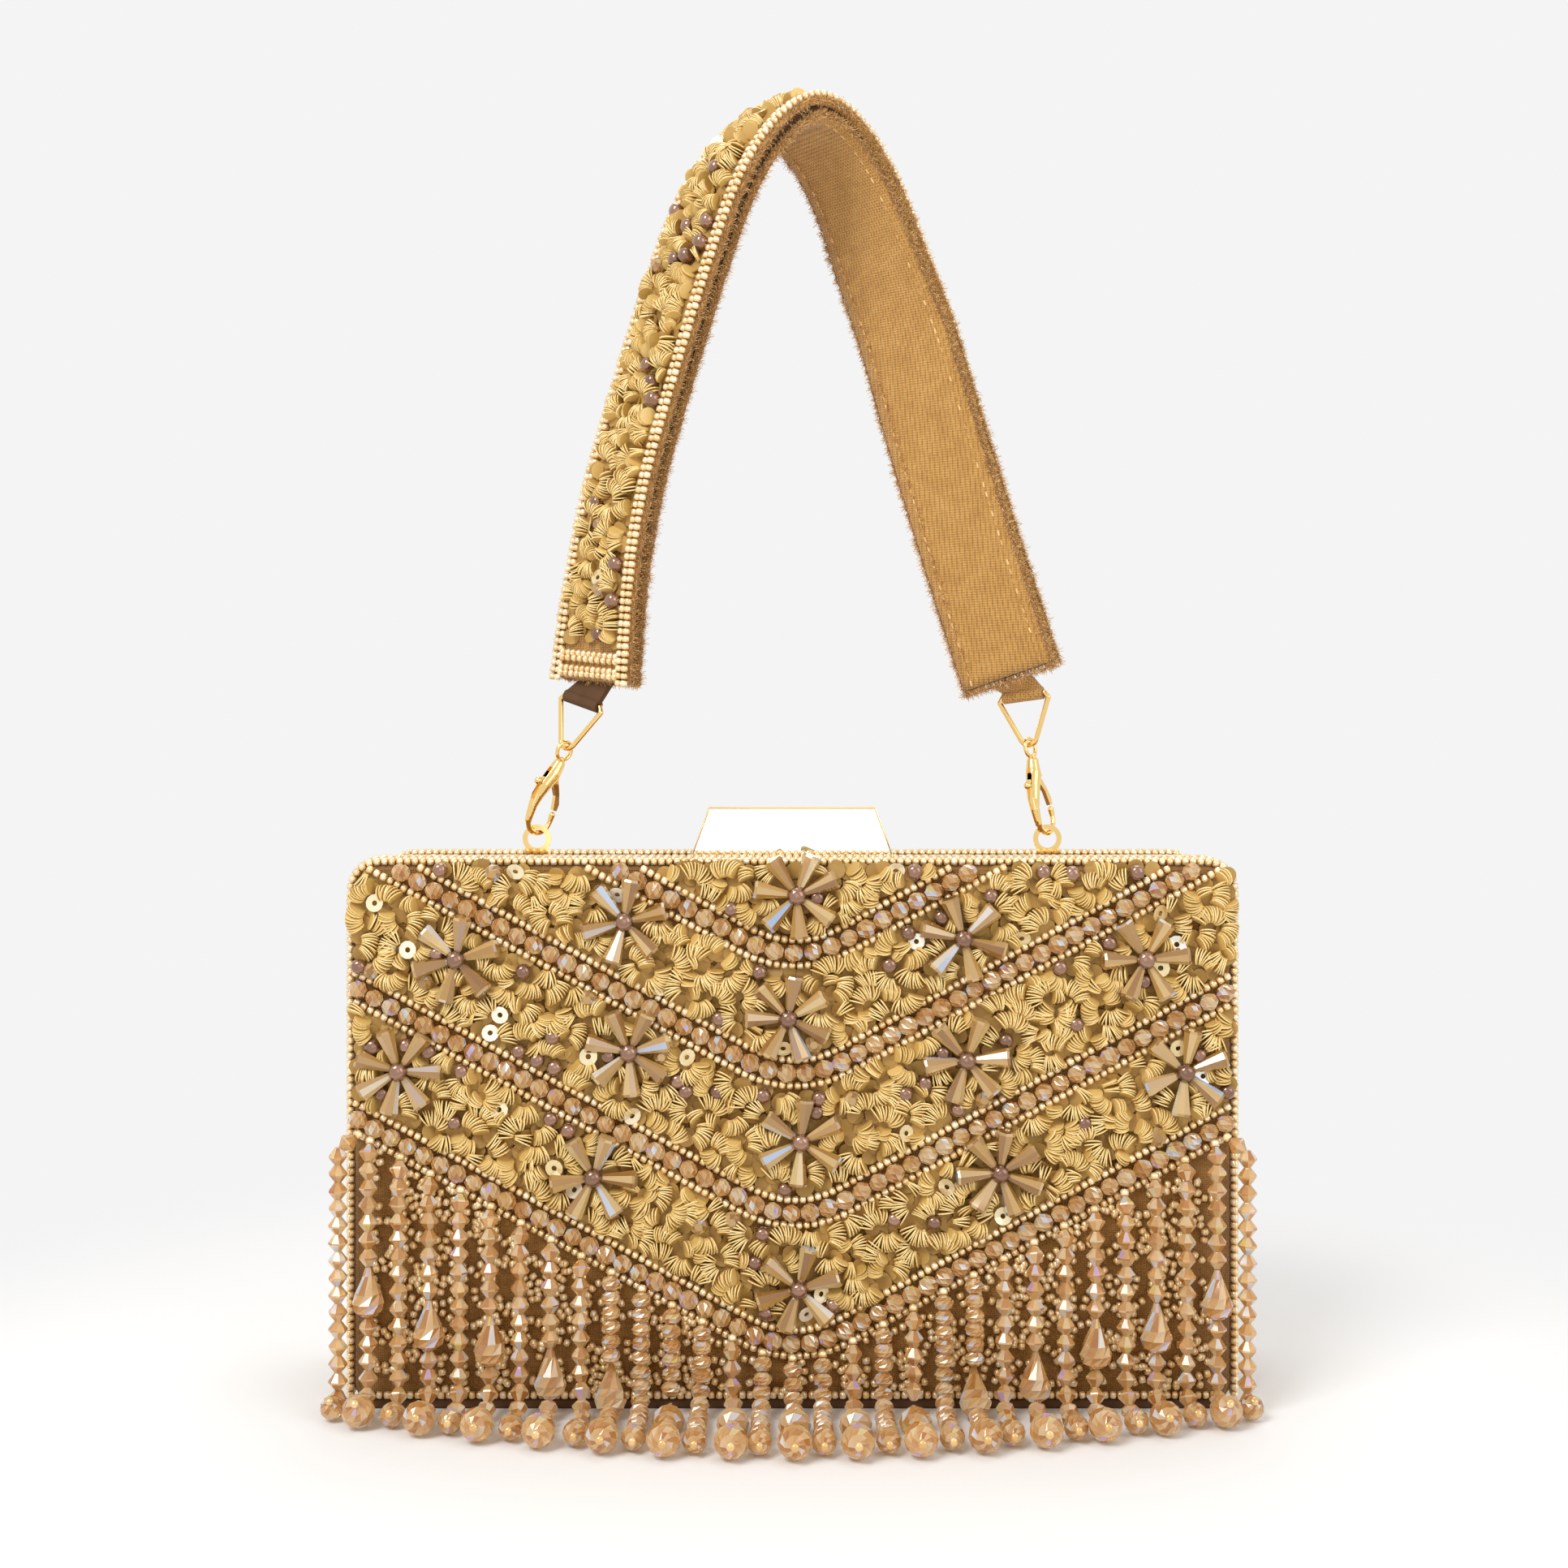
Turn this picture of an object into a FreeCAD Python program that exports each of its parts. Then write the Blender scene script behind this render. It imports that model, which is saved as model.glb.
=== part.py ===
"""Beaded box-clutch evening bag: two hinged half shells, a tip-back clasp, a detachable strap and a bead fringe.

Millimetres. +Z is up, -Y is the front, and the origin is at the centre of the base, under the parting
plane between the halves. The rear half stands still, and the front half opens forwards on the hinge pin.
"""
import FreeCAD, Part
import math
import os

Vector = FreeCAD.Vector

# ---------------------------------------------------------------- driving dimensions
BODY_WIDTH = 206.4          # over the cover fabric, without the edge beads
BODY_HEIGHT = 127.5
HALF_DEPTH = 24.0           # from the parting plane to the outside of the cover
CORNER_R = 6.5              # corners seen from the front
FACE_EDGE_R = 2.6           # edge between the big face and the side walls

PARTING_GAP = 0.25          # each half stops this far from the parting plane
COVER_T = 0.8               # cover fabric
SHELL_T = 1.2               # moulded half shell
LINING_T = 0.8
GLUE_GAP = 0.1              # between layers that are glued together

FRAME_LIP_T = 0.9           # frame's lip, along Y
FRAME_BAND_T = 1.0          # frame's band inside the shell
FRAME_BAND_DEPTH = 6.0

HINGE_PIN_R = 0.7
HINGE_PIN_Z = 2.2
HINGE_RUNNING_GAP = 0.05
KNUCKLE_R = 1.6
KNUCKLE_LENGTH = 14.0
KNUCKLE_COUNT = 13
KNUCKLE_SPACE = 0.4
LEAF_T = 1.2
REBATE_REAR = 2.2           # channel under the rear half that the hinge barrel lies in
REBATE_FRONT = 3.8          # wider in front, so the front half can turn down past the rear's foot
REBATE_TOP_Z = 4.2
RAIL_T = 1.2                # frame's rail over the channel
FOOT_HALF_WIDTH = 6.8       # rear frame's foot, in place of the middle knuckle
PIN_HEAD_R = 1.2
PIN_HEAD_T = 0.8

EDGE_BEAD_T = 1.8           # seed beads that wrap the outer edges
EDGE_BEAD_WIDTH = 5.6       # three rows of them
SEW_GAP = 0.05              # between stitched trim and the fabric under it

POCKET_WIDTH = 150.0
POCKET_HEIGHT = 78.0
POCKET_T = 2.4
POCKET_CLOTH_T = 0.7
POCKET_SEAM = 4.0

CLASP_BASE_WIDTH = 49.8
CLASP_TOP_WIDTH = 41.0
CLASP_HEIGHT = 12.4
CLASP_DEPTH = 10.4
CLASP_WALL = 0.9
CLASP_LIFT = 0.5            # the bar floats this far over the halves
CLASP_EDGE_R = 0.45
CLASP_PIN_R = 0.6
CLASP_PIN_Y = 3.0
CLASP_PIN_UP = 3.0          # pin above the top of the halves
EAR_T = 1.2
EAR_X = 15.0
EAR_R = 1.1
BRACKET_T = 0.8
CATCH_WIDTH = 16.0
CATCH_HEIGHT = 0.42         # stays under the closed bar, so the front half can pull out from it
CATCH_T = 1.0
CATCH_Y = -3.0
RIVET_R = 0.9
RIVET_HEAD_R = 1.7
RIVET_HEAD_T = 0.6
SPRING_WIRE_R = 0.25

LUG_X = 63.2
LUG_T = 1.0
LUG_Y = 1.4                 # middle of the lug's plate
LUG_HOLE_R = 2.3
LUG_RING_R = 3.5
LUG_HOLE_UP = 5.0           # hole centre above the top of the halves
LUG_FOOT_WIDTH = 7.0

CLIP_WIRE_R = 0.62
CLIP_LOOP_R = 3.7           # hook's centreline
CLIP_LENGTH = 21.5          # hook's lowest wire centre to the eye's centre
CLIP_EYE_R = 2.3
CLIP_EYE_WIRE_R = 0.5
CLIP_TURN = 52.0            # degrees between the clip's plane and the front
CLIP_REST_GAP = 0.3         # hook's wire under the lug's ring
CLIP_TILT_LEFT = 20.0
CLIP_TILT_RIGHT = -12.0
TRIGGER_T = 1.0
TRIGGER_PIVOT_U = 14.4
TRIGGER_PIN_R = 0.45
TRIGGER_SLOT_GAP = 0.12

RING_WIRE_R = 0.65
RING_BAR = 13.0             # triangle ring's bar, over its centreline
RING_HEIGHT = 12.4
RING_TURN = 30.0            # degrees between the ring's plane and the front
RING_BEND_R = 2.2
RING_HANG_GAP = 0.4         # between the ring's apex and the clip's eye

STRAP_WIDTH = 26.0
STRAP_FACE_T = 2.0
STRAP_CORE_T = 0.5
STRAP_CORE_WIDTH = 19.0
STRAP_LINING_T = 1.7
STRAP_LAYER_GAP = 0.35
STRAP_STATIONS = 37
TAB_WIDTH = 10.4
TAB_T = 0.8                 # one layer of the velvet tab
TAB_END_GAP = 0.3           # between the tab and the strap's end

STRAND_COUNT = 31
STRAND_PITCH = 7.0
STRAND_Y = -29.6            # strands hang on this line
STRAND_FLOOR_GAP = 0.35
BICONE_R = 2.0
BICONE_LENGTH = 4.0
BICONE_WAIST_R = 0.6
DROP_R = 3.8
DROP_LENGTH = 11.6
BALL_R_LARGE = 3.85
BALL_R_SMALL = 2.85
STRANDS_PER_GROUP = 3
THREAD_R = 0.45
LOOP_R = 0.9                # seed bead that ties each strand to the header
LOOP_UP = 1.5               # its height over the strand's top
LOOP_GAP = 0.25             # between it and the header

CHEVRON_SLOPE = 0.545
CHEVRON_ROUND_R = 12.0
CHEVRON_APEX_X = 0.6
BAND_HALF_WIDTH = 4.3
BAND_APEX_Z = (106.6, 78.6, 46.0, 15.6)   # middle of each chevron band, top to bottom
BAND_T = 2.6
FIELD_T = 2.2
FIELD_GAP = 0.25
FIELD_EDGE = 1.6            # from the body's outline to the embroidery
FLOWER_R = 9.6
FLOWER_PEARL_R = 2.0
FLOWER_PETALS = 6
PETAL_LENGTH = 7.2
PETAL_R_INNER = 1.0
PETAL_R_OUTER = 1.75
# flower centres on the front face: (x, z), one tuple for each field from top to bottom
FLOWERS = (
    ((1.0, 120.5),),
    ((-39.1, 114.0), (39.7, 110.0), (-1.0, 91.4)),
    ((-78.2, 105.2), (82.0, 105.2), (-38.0, 83.6), (40.4, 81.8), (1.9, 62.8)),
    ((-91.6, 79.3), (91.2, 79.0), (-46.3, 54.6), (48.2, 55.6), (1.4, 28.6)),
)

# strap's centreline, from the left end over the top to the right end, and the direction of its width there
STRAP_ROUTE = (
    ((-48.4, 0.4, 171.5), (0.80, -0.58)),
    ((-44.9, -1.0, 199.6), (0.72, -0.69)),
    ((-40.8, -2.6, 219.8), (0.69, -0.72)),
    ((-35.0, -4.4, 239.9), (0.68, -0.73)),
    ((-28.6, -6.2, 260.1), (0.67, -0.74)),
    ((-21.6, -7.4, 280.3), (0.66, -0.75)),
    ((-12.6, -6.4, 298.4), (0.64, -0.77)),
    ((0.8, -0.6, 309.2), (0.64, -0.77)),
    ((13.2, 6.2, 298.4), (0.70, -0.71)),
    ((20.8, 8.0, 280.3), (0.76, -0.65)),
    ((28.0, 7.0, 260.1), (0.82, -0.57)),
    ((33.8, 5.4, 239.9), (0.86, -0.51)),
    ((39.6, 3.8, 219.8), (0.88, -0.48)),
    ((45.6, 2.0, 199.6), (0.88, -0.48)),
    ((54.4, 0.4, 171.5), (0.90, -0.44)),
)

PARTS_FOLDER = "parts"
os.makedirs(PARTS_FOLDER, exist_ok=True)


# ---------------------------------------------------------------- small tools
def save(node, shapes):
    """Writes one node's STEP file from one solid or several."""
    solids = []
    for shape in shapes if isinstance(shapes, (list, tuple)) else [shapes]:
        solids.extend(shape.Solids)
    if not solids:
        raise ValueError(f"{node} holds no solid")
    whole = solids[0] if len(solids) == 1 else Part.makeCompound(solids)
    whole.exportStep(os.path.join(PARTS_FOLDER, node + ".step"))
    print(f"{node:28s} solids {len(solids):3d}  volume {sum(s.Volume for s in solids):10.2f}")


def box(x0, x1, y0, y1, z0, z1):
    return Part.makeBox(x1 - x0, y1 - y0, z1 - z0, Vector(x0, y0, z0))


def cylinder(radius, start, end):
    axis = end - start
    return Part.makeCylinder(radius, axis.Length, start, axis)


def rounded_slab(half_width, z0, z1, radius, y0, y1):
    """A slab with rounded corners in the XZ plane, from y0 to y1."""
    corner = min(radius, half_width - 0.1, (z1 - z0) / 2 - 0.1)
    wire = Part.makePolygon([
        Vector(-half_width, y0, z0), Vector(half_width, y0, z0),
        Vector(half_width, y0, z1), Vector(-half_width, y0, z1), Vector(-half_width, y0, z0)])
    slab = Part.Face(wire).extrude(Vector(0, y1 - y0, 0))
    upright = [e for e in slab.Edges
               if abs(e.Vertexes[0].X - e.Vertexes[1].X) < 1e-6 and abs(e.Vertexes[0].Z - e.Vertexes[1].Z) < 1e-6]
    return slab.makeFillet(corner, upright)


def body_slab(inset, y0, y1):
    """The body's outline, drawn in by inset, from y0 to y1."""
    return rounded_slab(BODY_WIDTH / 2 - inset, inset, BODY_HEIGHT - inset, CORNER_R - inset, y0, y1)


def rounded_face_slab(inset, y0, y1):
    """body_slab whose far face, at y1, has a rounded edge."""
    slab = body_slab(inset, y0, y1)
    rim = [e for e in slab.Edges if all(abs(v.Y - y1) < 1e-6 for v in e.Vertexes)]
    return slab.makeFillet(max(FACE_EDGE_R - inset, 0.4), rim)


def mirrored(shape):
    """The front half's copy of a rear piece."""
    return shape.mirror(Vector(0, 0, 0), Vector(0, 1, 0))


def hinge_channel(reach):
    return box(-BODY_WIDTH, BODY_WIDTH, -reach, reach, -1.0, REBATE_TOP_Z)


def top_rivet_places():
    """x and y of the rivets that go through the top wall of the rear half."""
    bracket = [(side * (EAR_X - 5.0), RIVET_ROW_Y) for side in (-1, 1)]
    lugs = [(side * LUG_X, RIVET_ROW_Y) for side in (-1, 1)]
    return bracket, lugs


def catch_rivet_places():
    return [(side * CATCH_WIDTH * 0.3, -RIVET_ROW_Y) for side in (-1, 1)]


def rivet_holes(places):
    """Clearance holes through the top wall."""
    return [cylinder(RIVET_R + GLUE_GAP, Vector(x, y, BODY_HEIGHT - 8), Vector(x, y, BODY_HEIGHT + 2))
            for x, y in places]


def rivet(x, y, seat_z):
    """A rivet: head on its seat, shank through the wall, and a clenched head inside."""
    inside_z = BODY_HEIGHT - COVER_T - GLUE_GAP - SHELL_T
    head = cylinder(RIVET_HEAD_R, Vector(x, y, seat_z), Vector(x, y, seat_z + RIVET_HEAD_T))
    shank = cylinder(RIVET_R, Vector(x, y, inside_z), Vector(x, y, seat_z))
    clench = cylinder(RIVET_HEAD_R, Vector(x, y, inside_z - RIVET_HEAD_T), Vector(x, y, inside_z))
    return head.fuse([shank, clench]).removeSplitter()


RIVET_ROW_Y = FRAME_BAND_DEPTH + 2.6
SHELL_START_Y = PARTING_GAP + FRAME_LIP_T + GLUE_GAP
LINING_START_Y = PARTING_GAP + FRAME_BAND_DEPTH + 0.2
SHELL_INSET = COVER_T + GLUE_GAP
FRAME_INSET = SHELL_INSET + SHELL_T + GLUE_GAP
LINING_INSET = SHELL_INSET + SHELL_T + GLUE_GAP
TOP_Z = BODY_HEIGHT


# ---------------------------------------------------------------- the two halves
def half_cover(holes, channel):
    """Cover fabric: a tray that wraps the shell."""
    outer = rounded_face_slab(0, SHELL_START_Y, HALF_DEPTH)
    inner = rounded_face_slab(COVER_T, SHELL_START_Y - 1, HALF_DEPTH - COVER_T)
    return outer.cut([inner, hinge_channel(channel), *rivet_holes(holes)])


def half_shell(holes, channel):
    outer = rounded_face_slab(SHELL_INSET, SHELL_START_Y, HALF_DEPTH - SHELL_INSET)
    inner = rounded_face_slab(SHELL_INSET + SHELL_T, SHELL_START_Y - 1, HALF_DEPTH - SHELL_INSET - SHELL_T)
    return outer.cut([inner, hinge_channel(channel), *rivet_holes(holes)])


def half_frame(channel):
    """Metal rim: a lip over the edge of the tray, a band inside it, and a rail over the hinge channel."""
    lip = body_slab(0, PARTING_GAP, PARTING_GAP + FRAME_LIP_T)
    band = body_slab(FRAME_INSET, PARTING_GAP, PARTING_GAP + FRAME_BAND_DEPTH)
    hollow = body_slab(FRAME_INSET + FRAME_BAND_T, PARTING_GAP - 1, PARTING_GAP + FRAME_BAND_DEPTH + 1)
    rim = lip.fuse(band).cut([hollow, hinge_channel(channel)])
    reach = BODY_WIDTH / 2 - FRAME_INSET - FRAME_BAND_T / 2
    back = PARTING_GAP + FRAME_BAND_DEPTH
    rail = box(-reach, reach, PARTING_GAP, back, REBATE_TOP_Z, REBATE_TOP_Z + RAIL_T)
    web = box(-reach, reach, back - RAIL_T, back, FRAME_INSET + FRAME_BAND_T / 2, REBATE_TOP_Z + RAIL_T)
    return rim.fuse([rail.common(band), web.common(body_slab(FRAME_INSET, 0, back))]).removeSplitter()


def rear_frame():
    """The rear frame also has a foot in the middle, level with the base, with a groove for the hinge pin."""
    foot = box(-FOOT_HALF_WIDTH, FOOT_HALF_WIDTH, PARTING_GAP, REBATE_REAR, 0, REBATE_TOP_Z)
    groove = cylinder(HINGE_PIN_R + HINGE_RUNNING_GAP, Vector(-BODY_WIDTH / 2, 0, HINGE_PIN_Z),
                      Vector(BODY_WIDTH / 2, 0, HINGE_PIN_Z))
    return half_frame(REBATE_REAR).fuse(foot.cut(groove)).removeSplitter()


def half_lining():
    """Suede lining: a thin tray inside the shell, behind the frame's band."""
    outer = rounded_face_slab(LINING_INSET, LINING_START_Y, HALF_DEPTH - LINING_INSET)
    inner = rounded_face_slab(LINING_INSET + LINING_T, LINING_START_Y - 1, HALF_DEPTH - LINING_INSET - LINING_T)
    heads = [cylinder(RIVET_HEAD_R + GLUE_GAP, Vector(x, y, TOP_Z - 8), Vector(x, y, TOP_Z))
             for x, y in sum(top_rivet_places(), []) + [(x, -y) for x, y in catch_rivet_places()]]
    return outer.cut([inner, *heads])


def edge_beading():
    """Three rows of seed beads round the outer edge, over the top and down both sides."""
    y0, y1 = HALF_DEPTH - EDGE_BEAD_WIDTH - FACE_EDGE_R, HALF_DEPTH - FACE_EDGE_R
    outer = body_slab(-EDGE_BEAD_T, y0, y1)
    ring = outer.cut(body_slab(-SEW_GAP, y0 - 1, y1 + 1))
    return ring.cut(box(-BODY_WIDTH, BODY_WIDTH, y0 - 1, y1 + 1, -EDGE_BEAD_T - 1, CORNER_R))


def slip_pocket():
    """Flat pocket sewn to the rear lining along three sides, open at the top."""
    back_y = HALF_DEPTH - LINING_INSET - LINING_T - SEW_GAP
    front_y = back_y - POCKET_T
    z0 = 14.0
    outer = box(-POCKET_WIDTH / 2, POCKET_WIDTH / 2, front_y, back_y, z0, z0 + POCKET_HEIGHT)
    room = box(-POCKET_WIDTH / 2 + POCKET_SEAM, POCKET_WIDTH / 2 - POCKET_SEAM,
               front_y + POCKET_CLOTH_T, back_y - POCKET_CLOTH_T, z0 + POCKET_SEAM, z0 + POCKET_HEIGHT + 1)
    return outer.cut(room)


# ---------------------------------------------------------------- hinge
def knuckle_spans():
    """(start, end) of each knuckle along X."""
    whole = KNUCKLE_COUNT * KNUCKLE_LENGTH + (KNUCKLE_COUNT - 1) * KNUCKLE_SPACE
    step = KNUCKLE_LENGTH + KNUCKLE_SPACE
    return [(-whole / 2 + i * step, -whole / 2 + i * step + KNUCKLE_LENGTH) for i in range(KNUCKLE_COUNT)]


def hinge_knuckles(spans, side):
    """Knuckles with their leaves, which reach up to the frame's rail. side is 1 for the rear half."""
    found = []
    for x0, x1 in spans:
        barrel = cylinder(KNUCKLE_R, Vector(x0, 0, HINGE_PIN_Z), Vector(x1, 0, HINGE_PIN_Z))
        near, far = sorted((side * PARTING_GAP, side * (PARTING_GAP + LEAF_T)))
        leaf = box(x0, x1, near, far, HINGE_PIN_Z, REBATE_TOP_Z)
        bore = cylinder(HINGE_PIN_R + HINGE_RUNNING_GAP, Vector(x0 - 1, 0, HINGE_PIN_Z),
                        Vector(x1 + 1, 0, HINGE_PIN_Z))
        found.append(barrel.fuse(leaf).cut(bore))
    return found


def hinge_pin():
    """Pin through every knuckle, with a head at each end."""
    spans = knuckle_spans()
    x0, x1 = spans[0][0] - KNUCKLE_SPACE, spans[-1][1] + KNUCKLE_SPACE
    rod = cylinder(HINGE_PIN_R, Vector(x0, 0, HINGE_PIN_Z), Vector(x1, 0, HINGE_PIN_Z))
    heads = [cylinder(PIN_HEAD_R, Vector(x0 - PIN_HEAD_T, 0, HINGE_PIN_Z), Vector(x0, 0, HINGE_PIN_Z)),
             cylinder(PIN_HEAD_R, Vector(x1, 0, HINGE_PIN_Z), Vector(x1 + PIN_HEAD_T, 0, HINGE_PIN_Z))]
    return rod.fuse(heads).removeSplitter()


# ---------------------------------------------------------------- clasp
def clasp_prism(inset, bottom_z, depth_inset):
    """The clasp bar's tapered block, drawn in by inset."""
    top_z = TOP_Z + CLASP_LIFT + CLASP_HEIGHT - inset
    half_base, half_top = CLASP_BASE_WIDTH / 2 - inset, CLASP_TOP_WIDTH / 2 - inset
    y0 = -CLASP_DEPTH / 2 + depth_inset
    outline = Part.makePolygon([
        Vector(-half_base, y0, bottom_z), Vector(half_base, y0, bottom_z),
        Vector(half_top, y0, top_z), Vector(-half_top, y0, top_z), Vector(-half_base, y0, bottom_z)])
    return Part.Face(outline).extrude(Vector(0, CLASP_DEPTH - 2 * depth_inset, 0))


def clasp_pin_ends(reach):
    z = TOP_Z + CLASP_PIN_UP
    return Vector(-reach, CLASP_PIN_Y, z), Vector(reach, CLASP_PIN_Y, z)


def clasp_bar():
    """Hollow tapered bar, open below, with two hanger plates that ride on the pin."""
    bottom_z = TOP_Z + CLASP_LIFT
    block = clasp_prism(0, bottom_z, 0)
    rim = [e for e in block.Edges if not all(abs(v.Z - bottom_z) < 1e-6 for v in e.Vertexes)]
    block = block.makeFillet(CLASP_EDGE_R, rim)
    over_bracket = box(-EAR_X - EAR_T, EAR_X + EAR_T, 1.0, CLASP_DEPTH, bottom_z - 1, TOP_Z + 2.0)
    bar = block.cut([clasp_prism(CLASP_WALL, bottom_z - 1, CLASP_WALL), over_bracket])
    hangers = []
    for side in (-1, 1):
        inner, outer = sorted((side * (EAR_X + EAR_T / 2 + 0.3), side * (EAR_X + EAR_T / 2 + 0.3 + EAR_T)))
        hangers.append(box(inner, outer, 0.8, CLASP_DEPTH / 2 - CLASP_WALL / 2,
                           bottom_z + 0.3, TOP_Z + CLASP_LIFT + CLASP_HEIGHT - CLASP_WALL / 2))
    return bar.fuse(hangers).cut(cylinder(CLASP_PIN_R + HINGE_RUNNING_GAP, *clasp_pin_ends(EAR_X + 4)))


def clasp_bracket():
    """Plate on the rear half's top wall, with two ears that hold the clasp's pin."""
    bracket_rivets, _ = top_rivet_places()
    plate = box(-EAR_X - EAR_T / 2, EAR_X + EAR_T / 2, 1.6, RIVET_ROW_Y + RIVET_HEAD_R + 0.6,
                TOP_Z + SEW_GAP, TOP_Z + SEW_GAP + BRACKET_T)
    ears = []
    for side in (-1, 1):
        x0, x1 = side * EAR_X - EAR_T / 2, side * EAR_X + EAR_T / 2
        boss = cylinder(EAR_R, Vector(x0, CLASP_PIN_Y, TOP_Z + CLASP_PIN_UP), Vector(x1, CLASP_PIN_Y, TOP_Z + CLASP_PIN_UP))
        post = box(x0, x1, CLASP_PIN_Y - EAR_R, CLASP_PIN_Y + EAR_R - 0.3, TOP_Z + SEW_GAP, TOP_Z + CLASP_PIN_UP)
        ears.append(boss.fuse(post))
    bracket = plate.fuse(ears).cut(cylinder(CLASP_PIN_R, *clasp_pin_ends(EAR_X + 4)))
    return bracket.cut(rivet_holes(bracket_rivets))


def clasp_pin():
    return cylinder(CLASP_PIN_R, *clasp_pin_ends(EAR_X + EAR_T / 2 + 0.3 + EAR_T + 0.4))


def clasp_spring():
    """Torsion spring round the pin: close coils with a leg down to the bracket."""
    z = TOP_Z + CLASP_PIN_UP
    coil_r = CLASP_PIN_R + SPRING_WIRE_R + 0.08
    coils = [Part.makeTorus(coil_r, SPRING_WIRE_R, Vector(i * 2 * SPRING_WIRE_R * 0.98 - 2.0, CLASP_PIN_Y, z),
                            Vector(1, 0, 0)) for i in range(9)]
    leg = cylinder(SPRING_WIRE_R, Vector(-2.0, CLASP_PIN_Y, z - coil_r),
                   Vector(-2.0, CLASP_PIN_Y - 1.6, TOP_Z + SEW_GAP + BRACKET_T + 2 * SPRING_WIRE_R))
    return coils[0].fuse(coils[1:] + [leg])


def front_catch():
    """Strike plate on the front half's top wall, which the bar closes over."""
    foot = box(-CATCH_WIDTH / 2, CATCH_WIDTH / 2, -RIVET_ROW_Y - RIVET_HEAD_R - 0.6, CATCH_Y + CATCH_T,
               TOP_Z + SEW_GAP, TOP_Z + SEW_GAP + 0.35)
    tongue = box(-CATCH_WIDTH / 2, CATCH_WIDTH / 2, CATCH_Y, CATCH_Y + CATCH_T, TOP_Z + SEW_GAP, TOP_Z + CATCH_HEIGHT)
    return foot.fuse(tongue).cut(rivet_holes(catch_rivet_places()))


# ---------------------------------------------------------------- strap lugs
def strap_lug(side):
    """Stamped lug: a foot on the top wall and an upright eye."""
    x, hole_z = side * LUG_X, TOP_Z + LUG_HOLE_UP
    y0, y1 = LUG_Y - LUG_T / 2, LUG_Y + LUG_T / 2
    foot = box(x - LUG_FOOT_WIDTH / 2, x + LUG_FOOT_WIDTH / 2, y0, RIVET_ROW_Y + RIVET_HEAD_R + 0.6,
               TOP_Z + SEW_GAP, TOP_Z + SEW_GAP + BRACKET_T)
    upright = box(x - LUG_RING_R * 0.8, x + LUG_RING_R * 0.8, y0, y1, TOP_Z + SEW_GAP, hole_z - LUG_RING_R * 0.6)
    eye = cylinder(LUG_RING_R, Vector(x, y0, hole_z), Vector(x, y1, hole_z))
    hole = cylinder(LUG_HOLE_R, Vector(x, y0 - 1, hole_z), Vector(x, y1 + 1, hole_z))
    _, lug_rivets = top_rivet_places()
    return foot.fuse([upright, eye]).cut([hole, *rivet_holes([lug_rivets[0 if side < 0 else 1]])])


def swing_axis_z():
    """Height of the strap's swing axis: the middle of the lug's ring above its hole."""
    return TOP_Z + LUG_HOLE_UP + (LUG_HOLE_R + LUG_RING_R) / 2


# ---------------------------------------------------------------- lobster clips
def frame_matrix(origin, v, w, u):
    """Matrix that carries local X, Y, Z to the directions v, w, u at origin."""
    return FreeCAD.Matrix(v.x, w.x, u.x, origin.x, v.y, w.y, u.y, origin.y, v.z, w.z, u.z, origin.z, 0, 0, 0, 1)


def clip_frame(side):
    """Origin (the hook's lowest wire centre in the clip's own plane) and the clip's directions."""
    tilt = math.radians(CLIP_TILT_LEFT if side < 0 else CLIP_TILT_RIGHT)
    turn = math.radians(CLIP_TURN)
    u = Vector(math.sin(tilt), 0, math.cos(tilt))
    v = Vector(math.cos(turn) * math.cos(tilt), math.sin(turn), -math.cos(turn) * math.sin(tilt))
    w = u.cross(v)
    up_in_plane = v * v.z + u * u.z
    up_in_plane.normalize()
    link = Vector(side * LUG_X, LUG_Y, TOP_Z + LUG_HOLE_UP + LUG_HOLE_R - CLIP_REST_GAP - CLIP_WIRE_R)
    loop_centre = link + up_in_plane * CLIP_LOOP_R
    return loop_centre - u * CLIP_LOOP_R, v, w, u


def local(v, u, w=0.0):
    return Vector(v, w, u)


def tube(points, radii):
    """Round bar through points: tapered spans with a ball at each joint."""
    pieces = []
    for (a, ra), (b, rb) in zip(zip(points, radii), zip(points[1:], radii[1:])):
        axis = b - a
        if abs(ra - rb) < 1e-6:
            pieces.append(Part.makeCylinder(ra, axis.Length, a, axis))
        else:
            pieces.append(Part.makeCone(ra, rb, axis.Length, a, axis))
    pieces.extend(Part.makeSphere(r, p) for p, r in zip(points, radii))
    return pieces[0].fuse(pieces[1:])


def arc_points(centre_v, centre_u, radius, start, end, count):
    """Points along an arc in the clip's plane, angles in degrees from +v."""
    return [local(centre_v + radius * math.cos(math.radians(start + (end - start) * i / (count - 1))),
                  centre_u + radius * math.sin(math.radians(start + (end - start) * i / (count - 1))))
            for i in range(count)]


GATE_TIP_U = 7.6            # where the trigger's gate meets the hook's tip
HEAD_U = 15.2


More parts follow.
